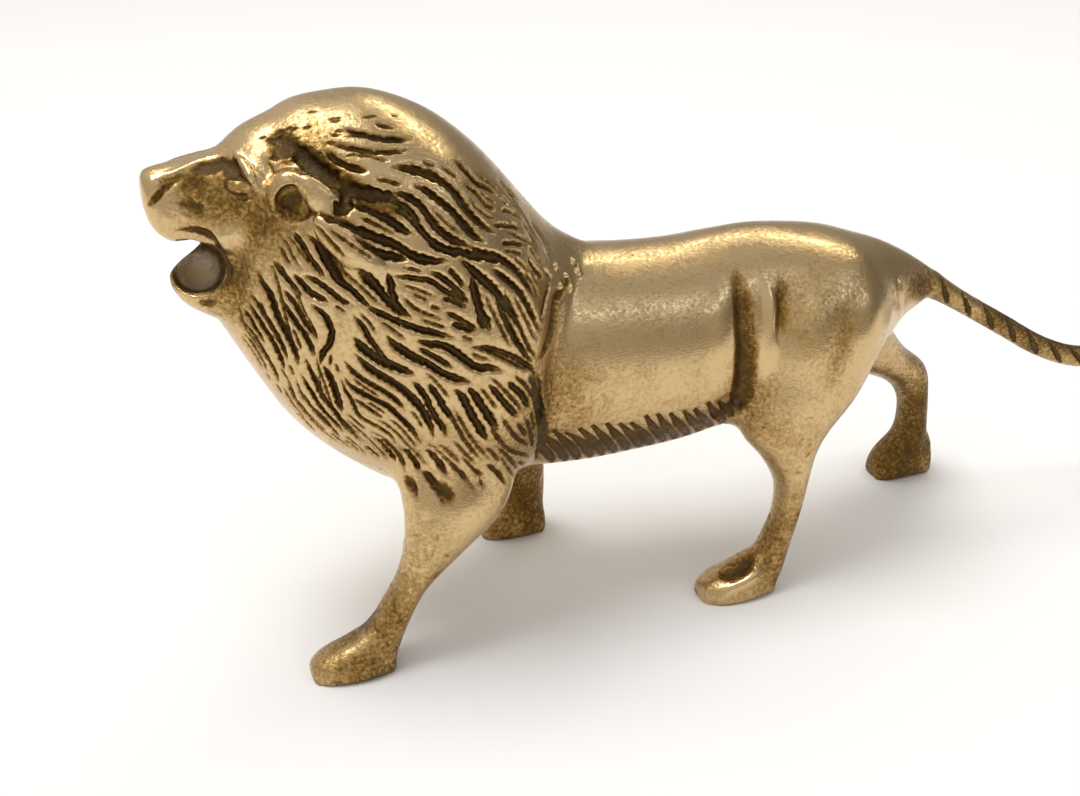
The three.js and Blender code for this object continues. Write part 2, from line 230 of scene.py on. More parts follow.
# The middle of each paw across the body, then x, top and share of the width of its stations.
PAWS = [
    (-18.5, [(-69.2, 3, 0.5), (-66.4, 4.6, 0.86), (-62, 6.2, 1), (-58, 8.2, 0.94), (-54.2, 6, 0.66)]),
    (-16.2, [(6, 3, 0.5), (8.8, 4.6, 0.88), (13, 6, 1), (17.4, 8.2, 0.9), (21, 6, 0.64)]),
    (19.5, [(-27, 3.2, 0.5), (-24.6, 4.8, 0.8), (-21, 6.6, 0.92), (-17, 8, 0.88), (-13.6, 5, 0.62)]),
    (17, [(61.2, 3.6, 0.55), (63, 6.2, 0.8), (66, 9.2, 0.9), (69.5, 12, 0.88), (74, 9, 0.7)]),
]
# Eggs that are scooped out or joined on at both sides: place, sizes, lean and turn.
SOCKET = ((-74, 8.4, 88), (3.4, 2.6, 2.4), -14, 30)
EAR_SCOOP = ((-65.6, 14, 86.2), (EAR_HOLLOW, 2, EAR_HOLLOW), -20, 24)
EAR_CUP = ((-65.4, 11.8, 86.6), (EAR_SIZE, 3, EAR_SIZE), -20, 24)
FEATURES = {
    "brow": ((-70.6, 8.6, 88.8), (4, 1.6, 1.5), -38, 50),
    "flap": ((-61, 15.4, 86.2), (6, 1.6, 2.4), -48, 20),
    "leaf": ((-58, 18.6, 79.6), (7.6, 2.4, 3), -44, 18),
    "cheek": ((-74.2, 5.5, 79.4), (4, 2.9, 3.6), -16, 12),
    "eye": ((-73.2, 7.3, 87.7), (2.3, 1.5, 1.5), -12, 30),
}
# The scoop that opens the mouth: place, sizes and lean.
SCOOP = ((-80.4, -3, 73.8), (5, 6.2, 5), -20)
# Where one form meets another: place, reach, rounds of smoothing, and whether it only fills hollows.
JOINS = [
    ((-45, -16, 35), 15, 60, True),
    ((-30, 14, 35), 13, 60, True),
    ((22, -14, 36), 12, 50, True),
    ((12, -8, 33), 9, 40, True),
    ((36, 8, 44), 8, 20, True),
    ((50, 0, 56), 13, 60, True),
    ((34, -9, 60), 16, 50, False),
    ((34, 9, 60), 16, 50, False),
    ((48, 0, 58), 14, 40, False),
    ((-27, 0, 29), 12, 40, True),
    ((-13, 0, 69), 9, 30, True),
    ((-74, 0, 92), 9, 30, True),
    ((66, 17, 9), 12, 60, True),
    ((19, -16.5, 7), 8, 30, True),
    ((-57, -18.5, 7), 6, 20, True),
    ((-18, 19.5, 7), 8, 30, True),
]
CHEEK_JOINS = [((-75.5, 8 * side, 80), 5, 40, True) for side in SIDES]
# Small nicks of the flank and the haunch.
NICKS = [
    [(2, -14.4, 60.8), (3.4, -14.9, 59.8), (3.8, -14.3, 61)],
    [(-1.6, -16.8, 54.6), (0.4, -17.1, 53.8), (1.4, -16.9, 54.4)],
    [(38, -15, 53), (38.8, -15, 51)],
]
# Patina over whole regions, on one side or on both: place, reach and strength. Below zero it is
# rubbed off.
STAINS = [
    ((69, 17, 10), 34, 0.42),
    ((-19, 19, 10), 24, 0.4),
    ((22, -16, 8), 22, 0.2),
    ((22, -13, 34), 12, 0.16),
    ((17, -13, 40), 9, 0.22),
    ((-57, -18, 4), 22, 0.3),
    ((-48, -18, 21), 11, 0.12),
    ((-80, 0.6, 71), 6, 3.2),
    ((58, 0, 53), 9, 0.3),
    ((80, 0, 40), 26, 0.3),
    ((110, 0, 38), 24, 0.3),
]
BOTH_SIDE_STAINS = [
    ((30, 15, 56), 13, 0.1),
    ((-65.2, 13.4, 86.2), 4.4, 0.26),
    ((-78, 6, 86), 8, 0.22),
    ((-72, 9, 84), 9, 0.24),
    ((-72, 8, 75), 8, 0.22),
    ((-68, 13, 82), 7, 0.26),
    ((-75, 8.6, 79.6), 4, -0.2),
    ((-76, 6, 69), 8, 0.3),
    ((-62, 9, 94), 8, 0.2),
    ((-26, 18, 45), 16, 0.24),
]
# Chased grooves of the mane on its chart: half width, then the places from root to tip.
GROOVES = [
    (0.5, (-8, 32), (-5, 31.2), (-2, 30.8), (2.6, 31)),
    (0.35, (-3, 32.6), (0, 32.3)),
    (0.4, (-10, 30), (-7, 29.6), (-5, 29.3), (-1, 29.3), (2, 29.7)),
    (0.6, (-11, 29.3), (-9.4, 28), (-5.4, 27)),
    (0.8, (-9, 23.2), (-6.5, 22.8), (-4, 21.6), (-2, 20.2), (0, 19)),
    (
        0.9, (-14, 22), (-11.5, 21), (-9, 20.2), (-6, 19.2), (-3, 17.9), (-1, 16.6), (1, 15.6),
        (3.6, 15), (6, 14.6),
    ),
    (0.8, (-9, 19), (-7, 17.7), (-4, 16.5), (-1, 15.8)),
    (0.55, (-4.4, 13.8), (-2, 13.2), (0, 12.8), (2.4, 12), (4, 10.6), (6, 9), (7.4, 7.6)),
    (1, (-10.2, 14.8), (-8.6, 13.6), (-7, 12), (-5.6, 10), (-3.6, 8), (-1.6, 6.4)),
    (0.8, (-5, 14.4), (-4.6, 12.6), (-4.6, 11), (-4, 9), (-2.6, 7)),
    (0.7, (-16.4, 19.8), (-15, 18), (-14, 15.6), (-13, 13.4), (-11, 11.6), (-9.6, 9.8), (-8, 8.2)),
    (0.75, (-9.6, 9.8), (-8, 8.2), (-5, 6.6), (-2, 5), (1.6, 3.6), (5.6, 2.2)),
    (0.6, (-18.2, 20), (-17.4, 18), (-16.6, 16), (-15, 13.4)),
    (0.6, (-18.6, 13.8), (-16.6, 13), (-14.8, 11.6), (-12.8, 9.8), (-11, 9.2)),
    (0.7, (-20, 14), (-19, 12.4), (-17.6, 10.8), (-15.2, 9.6)),
    (0.6, (-22.6, 15.6), (-21.4, 13.4), (-20.2, 11.4), (-19.2, 10.4)),
    (0.6, (-22.4, 11.6), (-21.4, 9.8), (-20.6, 8), (-20, 6), (-19, 4), (-18, 2.4)),
    (0.7, (-18.6, 9.4), (-17, 8), (-16, 6.4), (-15.6, 4), (-16.4, 1.6), (-17.8, -0.6), (-18.4, -3)),
    (0.7, (-23.4, 10), (-22.4, 7.6), (-21.2, 5), (-20.2, 3), (-19.4, 0), (-19.4, -1.4)),
    (
        0.8, (-26.2, 14), (-25.4, 12), (-24.6, 9.6), (-24.4, 7), (-24, 5), (-23.2, 2), (-22.6, -1),
        (-22.4, -4),
    ),
    (0.6, (-28.4, 9.8), (-27.4, 8), (-26.6, 6), (-25.8, 4), (-25, 1.4), (-24.2, -3)),
    (0.7, (-29.4, 8), (-28.4, 6), (-27.6, 4), (-26.8, 2), (-26.2, 0), (-25.6, -3), (-25.4, -6)),
    (0.6, (-30.8, 6.4), (-29.6, 4.4), (-28.8, 2), (-28, 0)),
    (0.7, (-31.6, 3.6), (-30.4, 2), (-29.4, -0.6), (-28.4, -4), (-27.6, -7), (-27.2, -10)),
    (0.5, (-32, 1), (-31, -1.4), (-30, -4.4), (-29.4, -8)),
    (
        0.7, (-21, -1), (-20.4, -4), (-19.2, -8), (-18.2, -11), (-16, -14), (-14.6, -16.6), (-12.4, -19),
        (-10.2, -21),
    ),
    (
        0.7, (-22, -5.8), (-21.4, -8), (-20.4, -10.2), (-19.4, -12.6), (-18, -14.8), (-16.2, -17),
        (-14, -19.4),
    ),
    (0.6, (-23, -9.6), (-22, -12), (-20.6, -14.6), (-18.8, -17), (-16.6, -19.2), (-14.6, -21.4)),
    (0.5, (-24, -13), (-22, -16.4), (-19.8, -19), (-17.4, -21.4)),
    (0.5, (-24, -18.6), (-22, -21), (-20, -23.4)),
    (0.9, (-16.6, -5.4), (-16, -8), (-15.4, -11), (-15.2, -13)),
    (
        0.5, (-14.8, -5), (-14, -8), (-12.8, -10.4), (-11.4, -13.8), (-9.4, -15), (-7.6, -16),
        (-5.6, -17.4), (-3.8, -20),
    ),
    (0.5, (-12.4, -9.8), (-10.4, -11.2), (-8.4, -12.6), (-6.8, -13.6)),
    (
        0.7, (-14, -4.6), (-13.4, -6.4), (-11.4, -8), (-9, -9.4), (-6.4, -10.6), (-4.4, -12.6),
        (-2.6, -14.6), (0, -18.4),
    ),
    (0.6, (-14, -1), (-13, -3), (-11, -5), (-8.6, -6.6), (-6.4, -8), (-4.6, -9.6), (-3, -11.6)),
    (
        0.9, (-12.2, 0.6), (-10.8, -1.4), (-8.8, -3.4), (-6.4, -5), (-4, -6.8), (-2, -8.8), (-0.4, -11),
        (1, -14), (1.8, -17),
    ),
    (1.1, (-12, 3.6), (-10.6, 1.4), (-8.4, -0.6), (-6, -2), (-3.4, -3.2), (-1.4, -4)),
    (0.6, (-11.6, 7.6), (-10.2, 5.6), (-9.2, 3.2), (-7.8, 0.8), (-6, -1.2)),
    (0.9, (-6.4, 4), (-5, 2), (-3.4, 0.6), (-1.6, -0.8), (0.6, -2), (2.8, -3.8), (5, -5), (8, -6.2)),
    (0.9, (-1.4, 2.6), (1, 1.6), (3.4, 1), (5.2, -0.2), (7, -2), (8.6, -3.4), (11, -4), (13, -4.8)),
    (0.6, (-1, 1.2), (1, -0.2), (3.2, -1.8), (5, -3.4)),
    (0.7, (-2.4, -5), (-0.8, -6.8), (0.4, -9), (1.4, -11.6), (2.8, -14), (4, -16.6)),
    (0.7, (0.6, -5.6), (2, -8), (3.2, -10.4), (4.6, -13)),
    (0.8, (4.8, -6.8), (6.4, -9), (7.4, -11.6), (8.8, -14.6), (10, -17)),
    (0.8, (7, -6.6), (8.4, -9), (9.8, -11.8), (11.4, -15)),
    (0.6, (10, -6.4), (11.6, -8.6), (13, -11), (14.6, -13)),
    (0.7, (5, 4.8), (7, 3.8), (9, 2.6)),
    (0.5, (4, 7), (6, 5.6), (8, 4), (9.4, 2.8)),
    (0.4, (1.6, 8.2), (3.2, 7.4)),
    (0.5, (3.6, 9.4), (6, 8.2), (8, 6.6)),
    (0.6, (2, 13.8), (4.6, 12), (6.4, 10), (8, 8)),
    (0.5, (5, 14), (6.6, 12), (7.6, 10)),
    (0.9, (7.2, 15), (9, 13), (10.6, 11.2), (12.6, 9), (14, 6.6), (15.4, 4.2), (17, 1)),
    (0.9, (9, 12), (9.4, 9), (10, 6), (10.8, 4), (11.4, 2)),
    (0.7, (12.8, 9), (13.4, 6), (14.2, 3), (15.2, 0.4), (16.6, -2.4), (18, -5)),
    (0.8, (12.4, 12.6), (14, 11), (16, 9), (18, 6.6), (19.6, 3), (21, -0.6)),
    (0.9, (9, 16.6), (11, 15), (13, 14), (15, 13), (17.4, 11), (19.4, 8.6), (21.4, 5)),
    (0.9, (2, 18.6), (4, 17), (6.4, 16), (8.6, 15.4)),
    (0.8, (1, 25.4), (3, 24.6), (5, 23.2), (7, 21.6), (8.6, 19.6), (10.4, 17.6), (12.4, 16.2)),
    (0.5, (-3, 22.8), (-1, 22), (0.6, 20.4), (2, 18.4)),
    (
        0.9, (-2, 27.4), (1, 27.3), (4, 26.6), (6.4, 25.4), (8, 24), (9.4, 22), (11, 20), (13, 18.2),
        (15, 17),
    ),
    (0.7, (9.4, 28.4), (11.4, 26.8), (13, 25), (15, 24.4), (17.6, 22.8)),
    (0.5, (10, 25), (12, 23.8), (14, 21.6), (16, 20.6)),
    (0.35, (3.4, 28.1), (5.6, 27.6)),
    (0.5, (20, 25.4), (22, 23.6), (24.4, 21.8)),
    (0.45, (14, 18.6), (17, 18), (20, 17.4), (22, 16.4)),
    (0.4, (17, 20.4), (20, 20), (22.6, 18.4)),
    (0.45, (15, 15.4), (18, 15), (22, 13.8)),
    (0.6, (21.4, 11.6), (23, 9.4), (25.4, 7)),
    (0.6, (-6, -21), (-4.8, -22.4), (-4, -23.4)),
    (0.6, (-3, -20), (-1.2, -21.8), (0, -23)),
    (0.6, (0.8, -19.4), (2.6, -21.2), (4, -22.4)),
    (0.5, (-9.6, -21.6), (-8, -23.2), (-6.6, -24.4)),
    (0.6, (13, -6.4), (15, -9), (16.6, -12)),
    (0.5, (-8, -18.6), (-6.4, -20.6), (-4.4, -22.4)),
    (1.6, (-15.5, 29.8), (-14, 28.2), (-11.9, 26.9), (-9.4, 25.6)),
    (1, (-10.6, 26.2), (-7.9, 25.1), (-4.7, 24.4), (-1.4, 23.8)),
    (0.75, (-2.7, 24.7), (-0.5, 24.1), (1.7, 22.9), (3.1, 20.9), (4.9, 18.9), (7.3, 17.2), (9.9, 16)),
    (0.65, (-4.4, 24.1), (-1.8, 23.3), (0.2, 21.9), (1.4, 19.7), (3, 17.8), (5.4, 16.3), (8.4, 15.2)),
    (1, (-10.3, 25.7), (-9.2, 24.5), (-9.6, 23), (-11.4, 21.6)),
    (0.55, (27, 6), (24.2, 3.4), (21.7, 0.9)),
    (0.95, (6.7, 16.4), (9.2, 15), (11.8, 14.2), (15, 12.8)),
    (0.58, (7.6, 0.3), (10.8, -0.6), (14.1, -2.4), (17.1, -5), (18.8, -7.1)),
    (0.43, (8.8, 0.4), (11.6, -1.6), (14.4, -3.7), (17, -5.9)),
    (0.63, (18.7, -6.6), (19.4, -9.9), (19.4, -13.6), (19.3, -17.3), (19.1, -21.7), (19.8, -25.5)),
    (0.39, (10.1, -12.4), (10.9, -15.3), (12.6, -18.2), (15.5, -20.6), (17.9, -22.7)),
    (0.4, (3.9, -10.7), (5.6, -14.8), (7.3, -18.1), (9.4, -20.7)),
    (0.39, (-0.2, -22.8), (1.4, -23), (2.9, -23.2), (4.6, -23.1)),
    (0.34, (-2.6, -24.4), (-1.5, -24.1), (-0.6, -23.8)),
    (0.89, (-17.8, -2.7), (-16.6, -6), (-15.6, -10), (-14.6, -13.7)),
    (0.5, (14.2, 8.8), (15.5, 4.9), (16.7, 1.2), (17.7, -1.9), (19.1, -4.7)),
    (0.35, (19.7, 9.8), (21.4, 7.4), (22.1, 4.7)),
    (0.4, (12.9, 8.3), (14.1, 4.5), (15.2, 1.1), (15.2, -1.1)),
    (0.26, (21.1, 24.6), (22.9, 21.1), (24.9, 17.6), (26.4, 13.7)),
    (0.22, (16.3, 21.1), (18.5, 18.8), (21.3, 16.3)),
    (0.26, (26.5, 17.5), (28.7, 13), (28.5, 9.2)),
    (0.37, (25.6, 9), (27.6, 5.7)),
    (0.39, (-18.9, 0), (-18.7, -3.4), (-17.7, -7.9), (-16.2, -13.6), (-13.4, -16.9), (-9.8, -20.7)),
    (0.34, (-23.2, -6.8), (-22.4, -12.4), (-19.3, -15.3), (-16, -19)),
    (0.34, (-25.1, -6.8), (-24.2, -13.6), (-21.6, -17.9), (-18.4, -21.5), (-14.5, -23.9)),
    (0.3, (-26.2, -4.6), (-24.8, -9.1), (-23.6, -14.9)),
    (0.31, (-23.2, 16.2), (-22.9, 13.8), (-22.9, 10.7), (-23, 7.2), (-22.9, 3.5), (-22.6, -0.1)),
    (0.31, (-21.7, 15.8), (-21.2, 13.3), (-20.3, 11), (-19.5, 8.7)),
    (0.36, (-26.6, 8.9), (-26.5, 5.7), (-25.7, 2.9), (-25.2, 0.4)),
    (0.27, (-31.4, 6.8), (-31.4, 2.5), (-30.1, -1.2), (-29.1, -4)),
    (0.33, (-20.6, 11.8), (-20, 8.9), (-19.2, 6.3), (-18.3, 3.6), (-18.1, 2.6)),
    (0.26, (-20.1, 19.1), (-19.6, 17.8), (-19.2, 16.1), (-18.3, 14.4)),
    (0.26, (-19.4, 19.6), (-18.4, 17.9), (-17.5, 16.3), (-16.1, 14.2)),
    (0.67, (9.9, 6.7), (9.9, 4.5), (10.5, 2.7)),
    (0.56, (5.2, 10.3), (7, 8.8), (8.3, 7.5)),
    (0.36, (-9.2, -17), (-6.3, -18.8), (-3.7, -21.5), (-2.1, -23.5)),
    (0.47, (-7.2, -18.5), (-4.8, -20.7), (-2.2, -24.1)),
    (0.26, (-9.1, 30.3), (-7.6, 29.8), (-5.5, 29.1), (-3.4, 28.4), (-1.5, 28.2)),
    (0.19, (-5.3, 29.6), (-3.2, 29.1), (-0.9, 29.1)),
    (0.31, (-18.9, -5.1), (-18.4, -9.3), (-16.9, -12.7)),
    (0.3, (-20.1, 4.3), (-19.3, -0.1)),
    (0.24, (12, -20), (13.4, -22.5), (14.4, -24.4)),
    (0.3, (8.3, -22.5), (8.8, -22.9)),
    (0.27, (6.2, -20), (8.1, -21.8), (9.5, -22.2)),
]
MANE_MIDDLE = np.array((-48.0, 0.0, 62.0))
CHART_SCALE = 25.0
# Depth of the grooves, width of their walls, and the level that the patina in all carving nears, together
# with the painted shade and highlight of a few strokes.
GROOVE_DEPTH = 1.05
WALL = 0.6
PATINA_AND_PAINTED_LIGHT_CAP = 0.72
# Thin grooves fill the gaps between the drawn ones: half width, least and greatest distance from
# them, number of tries, length of a step and steps each way.
FINE_WIDTH = 0.34
FINE_GAP = 0.66
FINE_REACH = 3.2
FINE_SEEDS = 5000
FINE_STEP = 0.55
FINE_STEPS = 14
# Locks that stay plain, by place and reach, and the outline that the thin grooves stay within.
PLAIN_LOCKS = [((-10, 17), 3.4), ((-3.5, 7), 3), ((-12.6, 6), 2.6), ((-14.4, 1.6), 2)]
MANE_EDGE = [
    (-18.5, 21.5), (-22, 16.5), (-26.5, 9.5), (-31.5, 7), (-33, 0), (-30, -10), (-24, -18), (-16, -24),
    (-8, -25), (-2, -24), (6, -23), (12, -24), (19, -25), (18.5, -12), (18, -5), (21, 0), (22, 6), (26, 9),
    (27, 17), (22, 23), (10, 28), (2, 28), (-3, 26.5), (-9, 27.5), (-10, 22), (-15, 20),
]

# Sculpting strokes on the left side: places, half width, push along the surface's normal and how dark the
# patina lies in it. A few strokes, marked below, use this darkness to paint shade, and one clears it to paint
# a highlight. Those of the head and the body are mirrored on the right side.
HEAD_STROKES = [
    ([
        (-86.1, -2.6, 89), (-82.7, -2.9, 89.5), (-79.2, -2.1, 90.4), (-76.6, -1.8, 91.1),
        (-74.6, -2.5, 92),
    ], 0.8, 0.45, -0.4),
    ([(-80.3, -3.4, 89.5), (-77.8, -3.6, 90), (-75.1, -4.1, 90.7), (-74, -5.5, 90.1)], 1.6, -0.5, 0.9),
    ([(-82.3, -4, 88.2), (-79.8, -4.8, 87.8), (-77.2, -5.5, 87.9)], 2.4, -0.6, 0.26),
    ([(-85.6, -3.4, 87.9), (-83.5, -3.5, 88.6), (-80.6, -3.7, 89.2)], 1.2, -0.3, 0.5),
    ([(-87.4, -3.5, 84.5), (-85.9, -4.2, 86.1), (-84.2, -4.2, 87.6), (-82.3, -4, 88.3)], 0.8, -0.7, 0.8),
    ([(-87, -2.6, 88.4), (-85.1, -3.3, 88.4)], 1.6, 0.3, -0.4),
    ([(-85.9, -4.6, 84), (-83, -5.3, 82.7), (-80.5, -5.9, 81.8)], 2.4, 0.35, -0.4),
    ([(-85.2, -4.6, 85.3), (-82.9, -5.3, 84), (-80.8, -5.8, 82.6), (-79.4, -6.1, 81.4)], 0.6, 0.35, -0.3),
    ([(-83.3, -4.9, 85.7), (-81.2, -5.4, 84.8), (-79.6, -6, 84), (-79.1, -6.2, 82.3)], 1.3, -0.5, 0.34),
    ([
        (-84.5, -5.1, 80.8), (-81.6, -5.6, 80.8), (-78.8, -6.2, 80.1), (-77.5, -6.8, 78.3),
        (-76.2, -5.3, 75.3), (-75.6, -6.7, 73.8), (-76.2, -7.4, 72.1), (-77.3, -7.2, 70.5),
    ], 0.75, -0.6, 0.9),
    ([
        (-83.3, -4.7, 79.3), (-80.7, -5.3, 78.8), (-78.7, -5.4, 77.9), (-76.6, -5.2, 76),
        (-75.8, -5.6, 73.8),
    ], 0.6, 0.5, -0.3),
    ([
        (-75.8, -5.6, 73.8), (-76.2, -5.6, 71.6), (-77.6, -5.6, 69.8), (-79.8, -5.2, 69.2),
        (-84, -3, 69.3),
    ], 0.6, 0.5, -0.3),
    ([(-81.2, -5.4, 68.1), (-79.7, -6.1, 67.9), (-78.1, -6.9, 68.5)], 1, -0.3, 0.6),
    ([(-76.3, -7.9, 81.1), (-74.7, -8.8, 79.3)], 2.8, 0.6, -0.2),
    ([(-77.7, -6.1, 85.4), (-76.5, -6.8, 84.2), (-74.9, -7.8, 83.8), (-72.6, -9.4, 83.9)], 0.9, 0.4, -0.1),
    ([(-75.2, -4.5, 90.2), (-73.2, -6.3, 90.1), (-72.1, -6.9, 88.3)], 2.2, -0.7, 0.9),
    ([(-74.2, -5.9, 88.6), (-72.9, -6.9, 89.7), (-71.8, -9.7, 89.5), (-71.1, -10.5, 88.1)], 0.5, 0.4, -0.1),
    ([(-74.7, -6.5, 86.7), (-73.4, -8.2, 85.7), (-71.6, -9.3, 85.5), (-70.6, -9.6, 86.1)], 0.5, 0.45, -0.1),
    ([(-74, -8, 88), (-72.6, -8.8, 87.6)], 1.2, 0.25, -0.4),
    ([(-74.5, -6.6, 88.6), (-73.6, -7.4, 89.3), (-72.4, -8.9, 89.2), (-71.4, -10, 88.2)], 0.6, -0.35, 0.8),
    ([(-74.7, -7.4, 87.2), (-73.9, -8.1, 86.5), (-72.5, -8.9, 86.3), (-71.2, -9.9, 87)], 0.6, -0.35, 0.8),
    ([
        (-73.2, -3.6, 92.7), (-72.2, -6, 91.3), (-71.3, -9.7, 89.7), (-70.5, -10.8, 88.4),
        (-69.6, -11.3, 87.3),
    ], 1, 1, -0.6),
    # Painted highlight: the patina is cleared from the brow's facet so that the facet reads bright.
    ([(-71.5, -5.1, 92.7), (-70.3, -7.1, 91.4), (-69.4, -8.8, 89.9), (-69.1, -10.5, 88.6)], 2, 0.1, -0.9),
    ([(-69.4, -6.7, 92.5), (-68.2, -9, 90.6), (-68.5, -11.8, 89.2)], 0.7, -0.5, 0.6),
    ([(-66.5, -4.8, 95.7), (-66, -6.8, 94.2), (-65.7, -8.7, 92.7), (-64.5, -10.3, 91.9)], 2.8, -0.8, 0.5),
    ([
        (-68.3, -12.8, 88.8), (-67.6, -12.8, 90.1), (-66.1, -12.5, 90.5), (-64.6, -13.7, 90.3),
        (-63.6, -15.4, 88.9), (-63.3, -15.8, 86.6), (-63.6, -13.6, 84.4),
    ], 0.7, 0.5, -0.4),
    ([(-67.5, -9.1, 90.8), (-66.3, -8.9, 91.8), (-64.9, -10.1, 91.8), (-64, -11.5, 90.7)], 0.6, 0.4, -0.3),
    ([(-66.2, -12, 87.6), (-65.2, -11.7, 86), (-64.7, -12.1, 84.9)], 2.6, 0.3, 0.4),
    ([
        (-64, -11.5, 90.7), (-62, -12.9, 89.8), (-60.2, -14.7, 88), (-59.5, -16.4, 86.2),
        (-59.6, -16.7, 84.9),
    ], 0.7, 0.4, -0.5),
    # Painted shadow: the ear flap's cast shade, laid in full darkness along the groove under the flap.
    ([(-63.2, -14.2, 84.9), (-62, -15.7, 84.5), (-60.9, -18.5, 84.5), (-59.4, -17.9, 84.1)], 0.9, -0.9, 1),
    ([(-69.4, -12, 87.5), (-67.6, -12.1, 85.4), (-65.5, -12.6, 83.9), (-64, -15.2, 83.2)], 0.9, 0.35, 0.1),
    ([
        (-66.5, -6.5, 95.4), (-63, -10.5, 92.8), (-59, -13.8, 90), (-54, -16.6, 86.6),
        (-48, -18.4, 83),
    ], 2.1, -0.8, 0.7),
    # Groove under the ear flap and the leaf: partly patina in the groove, partly painted shade under the
    # flap.
    ([(-63.5, -14.5, 85), (-60, -17.2, 83.8), (-56, -19.4, 81.4)], 1.3, -0.9, 0.9),
    ([(-63.1, -15.8, 81.2), (-61.1, -18.4, 77), (-59.3, -20, 72.9)], 1, -0.8, 0.8),
]
BODY_STROKES = [
    ([(8.4, -10, 62.4), (8.6, -13.6, 58), (8.6, -16, 52), (8.4, -16.6, 46)], 4.4, 0.55, -0.05),
    ([
        (12.9, -8.2, 64.8), (13.2, -11.9, 60.8), (13.2, -14.6, 55.1), (13.4, -15.4, 48.6),
        (13.6, -14.2, 41.6), (15, -10, 35),
    ], 2.9, -1.3, 0.56),
    ([
        (17, -10, 63), (18.7, -12.9, 59.3), (18.7, -14.8, 53.5), (18, -15, 47.7), (16.8, -15, 42.3),
    ], 2.1, 0.9, -0.3),
    ([(20.7, -10.6, 62.4), (21.2, -12.8, 59.7), (19.8, -14.5, 54.7), (18.3, -15, 48.7)], 1.9, -0.9, 0.3),
    ([(27, -12.5, 62.4), (27, -16, 56), (25.6, -17.8, 49), (23.4, -18, 42)], 4, 0.5, 0),
    ([(32.4, -15.8, 57.9), (31.5, -18, 53), (30.1, -19, 47.3), (28.3, -19.6, 41.2)], 2.6, -0.4, 0.1),
    ([(38, -14, 60), (37.4, -17, 53), (35, -18, 46)], 5, 0.6, -0.1),
    ([(47.4, -7.7, 58.4), (47.7, -9.1, 55.3), (48.6, -9, 51.5)], 0.9, 0.7, -0.2),
    ([(49.3, -7.6, 56.6), (53.8, -5.8, 54.3), (59.5, -2.8, 51)], 3.6, -0.2, 0.4),
    # The crease at the mane's rear rim, in this stroke and the next: partly patina, partly painted shade
    # under the mane's overhang.
    ([
        (-17.5, -9.2, 65.9), (-20.5, -12.1, 64.8), (-22.2, -13.9, 63.9), (-23.6, -15.9, 60.6),
        (-25.4, -18.2, 58.1), (-28, -20.6, 56.4),
    ], 1.3, -1, 0.75),
    ([
        (-28, -20.6, 56.4), (-28.7, -21.1, 54.3), (-27.6, -20.4, 49.1), (-25.5, -16.9, 41.4),
        (-24.5, -12.1, 34.4),
    ], 1.5, -1.1, 0.85),
    ([
        (-22, -11, 67), (-25.4, -16.6, 62.6), (-28.4, -20, 58.6), (-30.6, -22.4, 54),
        (-30, -21.6, 48),
    ], 1.9, 0.3, 0),
    ([(-20, -13.4, 62), (-22.6, -18, 55.6), (-24.6, -19.4, 50), (-23, -17, 43)], 2.6, -0.6, 0.1),
]
# Lumps of rough metal at the rear edge of the mane.
LUMPS = [
    (-21.1, -10.5, 69), (-19, -9.9, 66.7), (-16.8, -7.1, 68),
    (-16.2, -8, 66.4), (-18.5, -10.5, 64.6), (-20.8, -11.8, 65.8),
]
LUMP_SLIP = 0.7
BROW_NICKS = 70
LEG_PITS = 420
# Strokes of the left paws.
PAW_STROKES = [
    ([(-66.4, -20.4, 4.6), (-62.8, -20.8, 6), (-57, -20.4, 8.6)], 2, 0.4, -0.2),
    ([(-61, -17, 8), (-56, -17.4, 12)], 2.6, -0.5, 0.4),
    ([(8.6, -17.6, 5), (13, -18, 6.4), (17, -17.6, 7.6)], 2.8, -1, 0.6),
    ([(8.2, -20.4, 3.4), (13, -20.8, 4.6), (17.4, -20.2, 6)], 1.6, 0.5, -0.3),
]
# Strokes of the fringe: their count, first x and spacing, and the stops of each by distance behind
# its x and dip below the level in radians. One more stroke rises from them to the flank's fold.
FRINGE_COUNT = 17
FRINGE_START = -25
FRINGE_STEP = 2.45
FRINGE_DIPS = [(-0.7, -0.64), (1.5, -0.82), (3.2, -1.02), (4, -1.16)]
FOLD_DIPS = [(8, -0.74), (11, -0.66), (14, -0.5)]
# Notches of the tail: first and last x, spacing and slant.
NOTCH_START = 62.0
NOTCH_END = 112
NOTCH_STEP = 6.7
NOTCH_SLANT = 1.3


# Form

def smooth_run(rows, count):
    """Rows joined by a smooth curve, sampled evenly from the first to the last."""
    rows = np.array(rows, float)
    rows = np.vstack([2 * rows[0] - rows[1], rows, 2 * rows[-1] - rows[-2]])
    places = np.linspace(0, len(rows) - 3, count + 1)
    start = np.minimum(places.astype(int), len(rows) - 4)
    t = (places - start)[:, None]
    a, b, c, d = (rows[start + k] for k in range(4))
    rise = 0.5 * (c - a)
    fall = 0.5 * (d - b)
    return b + rise * t + (3 * (c - b) - 2 * rise - fall) * t**2 + (2 * (b - c) + rise + fall) * t**3


def bulge(values, square):
    """Sines or cosines squared off. A squareness of 2 leaves them round."""
    return np.sign(values) * np.abs(values) ** (2 / square)


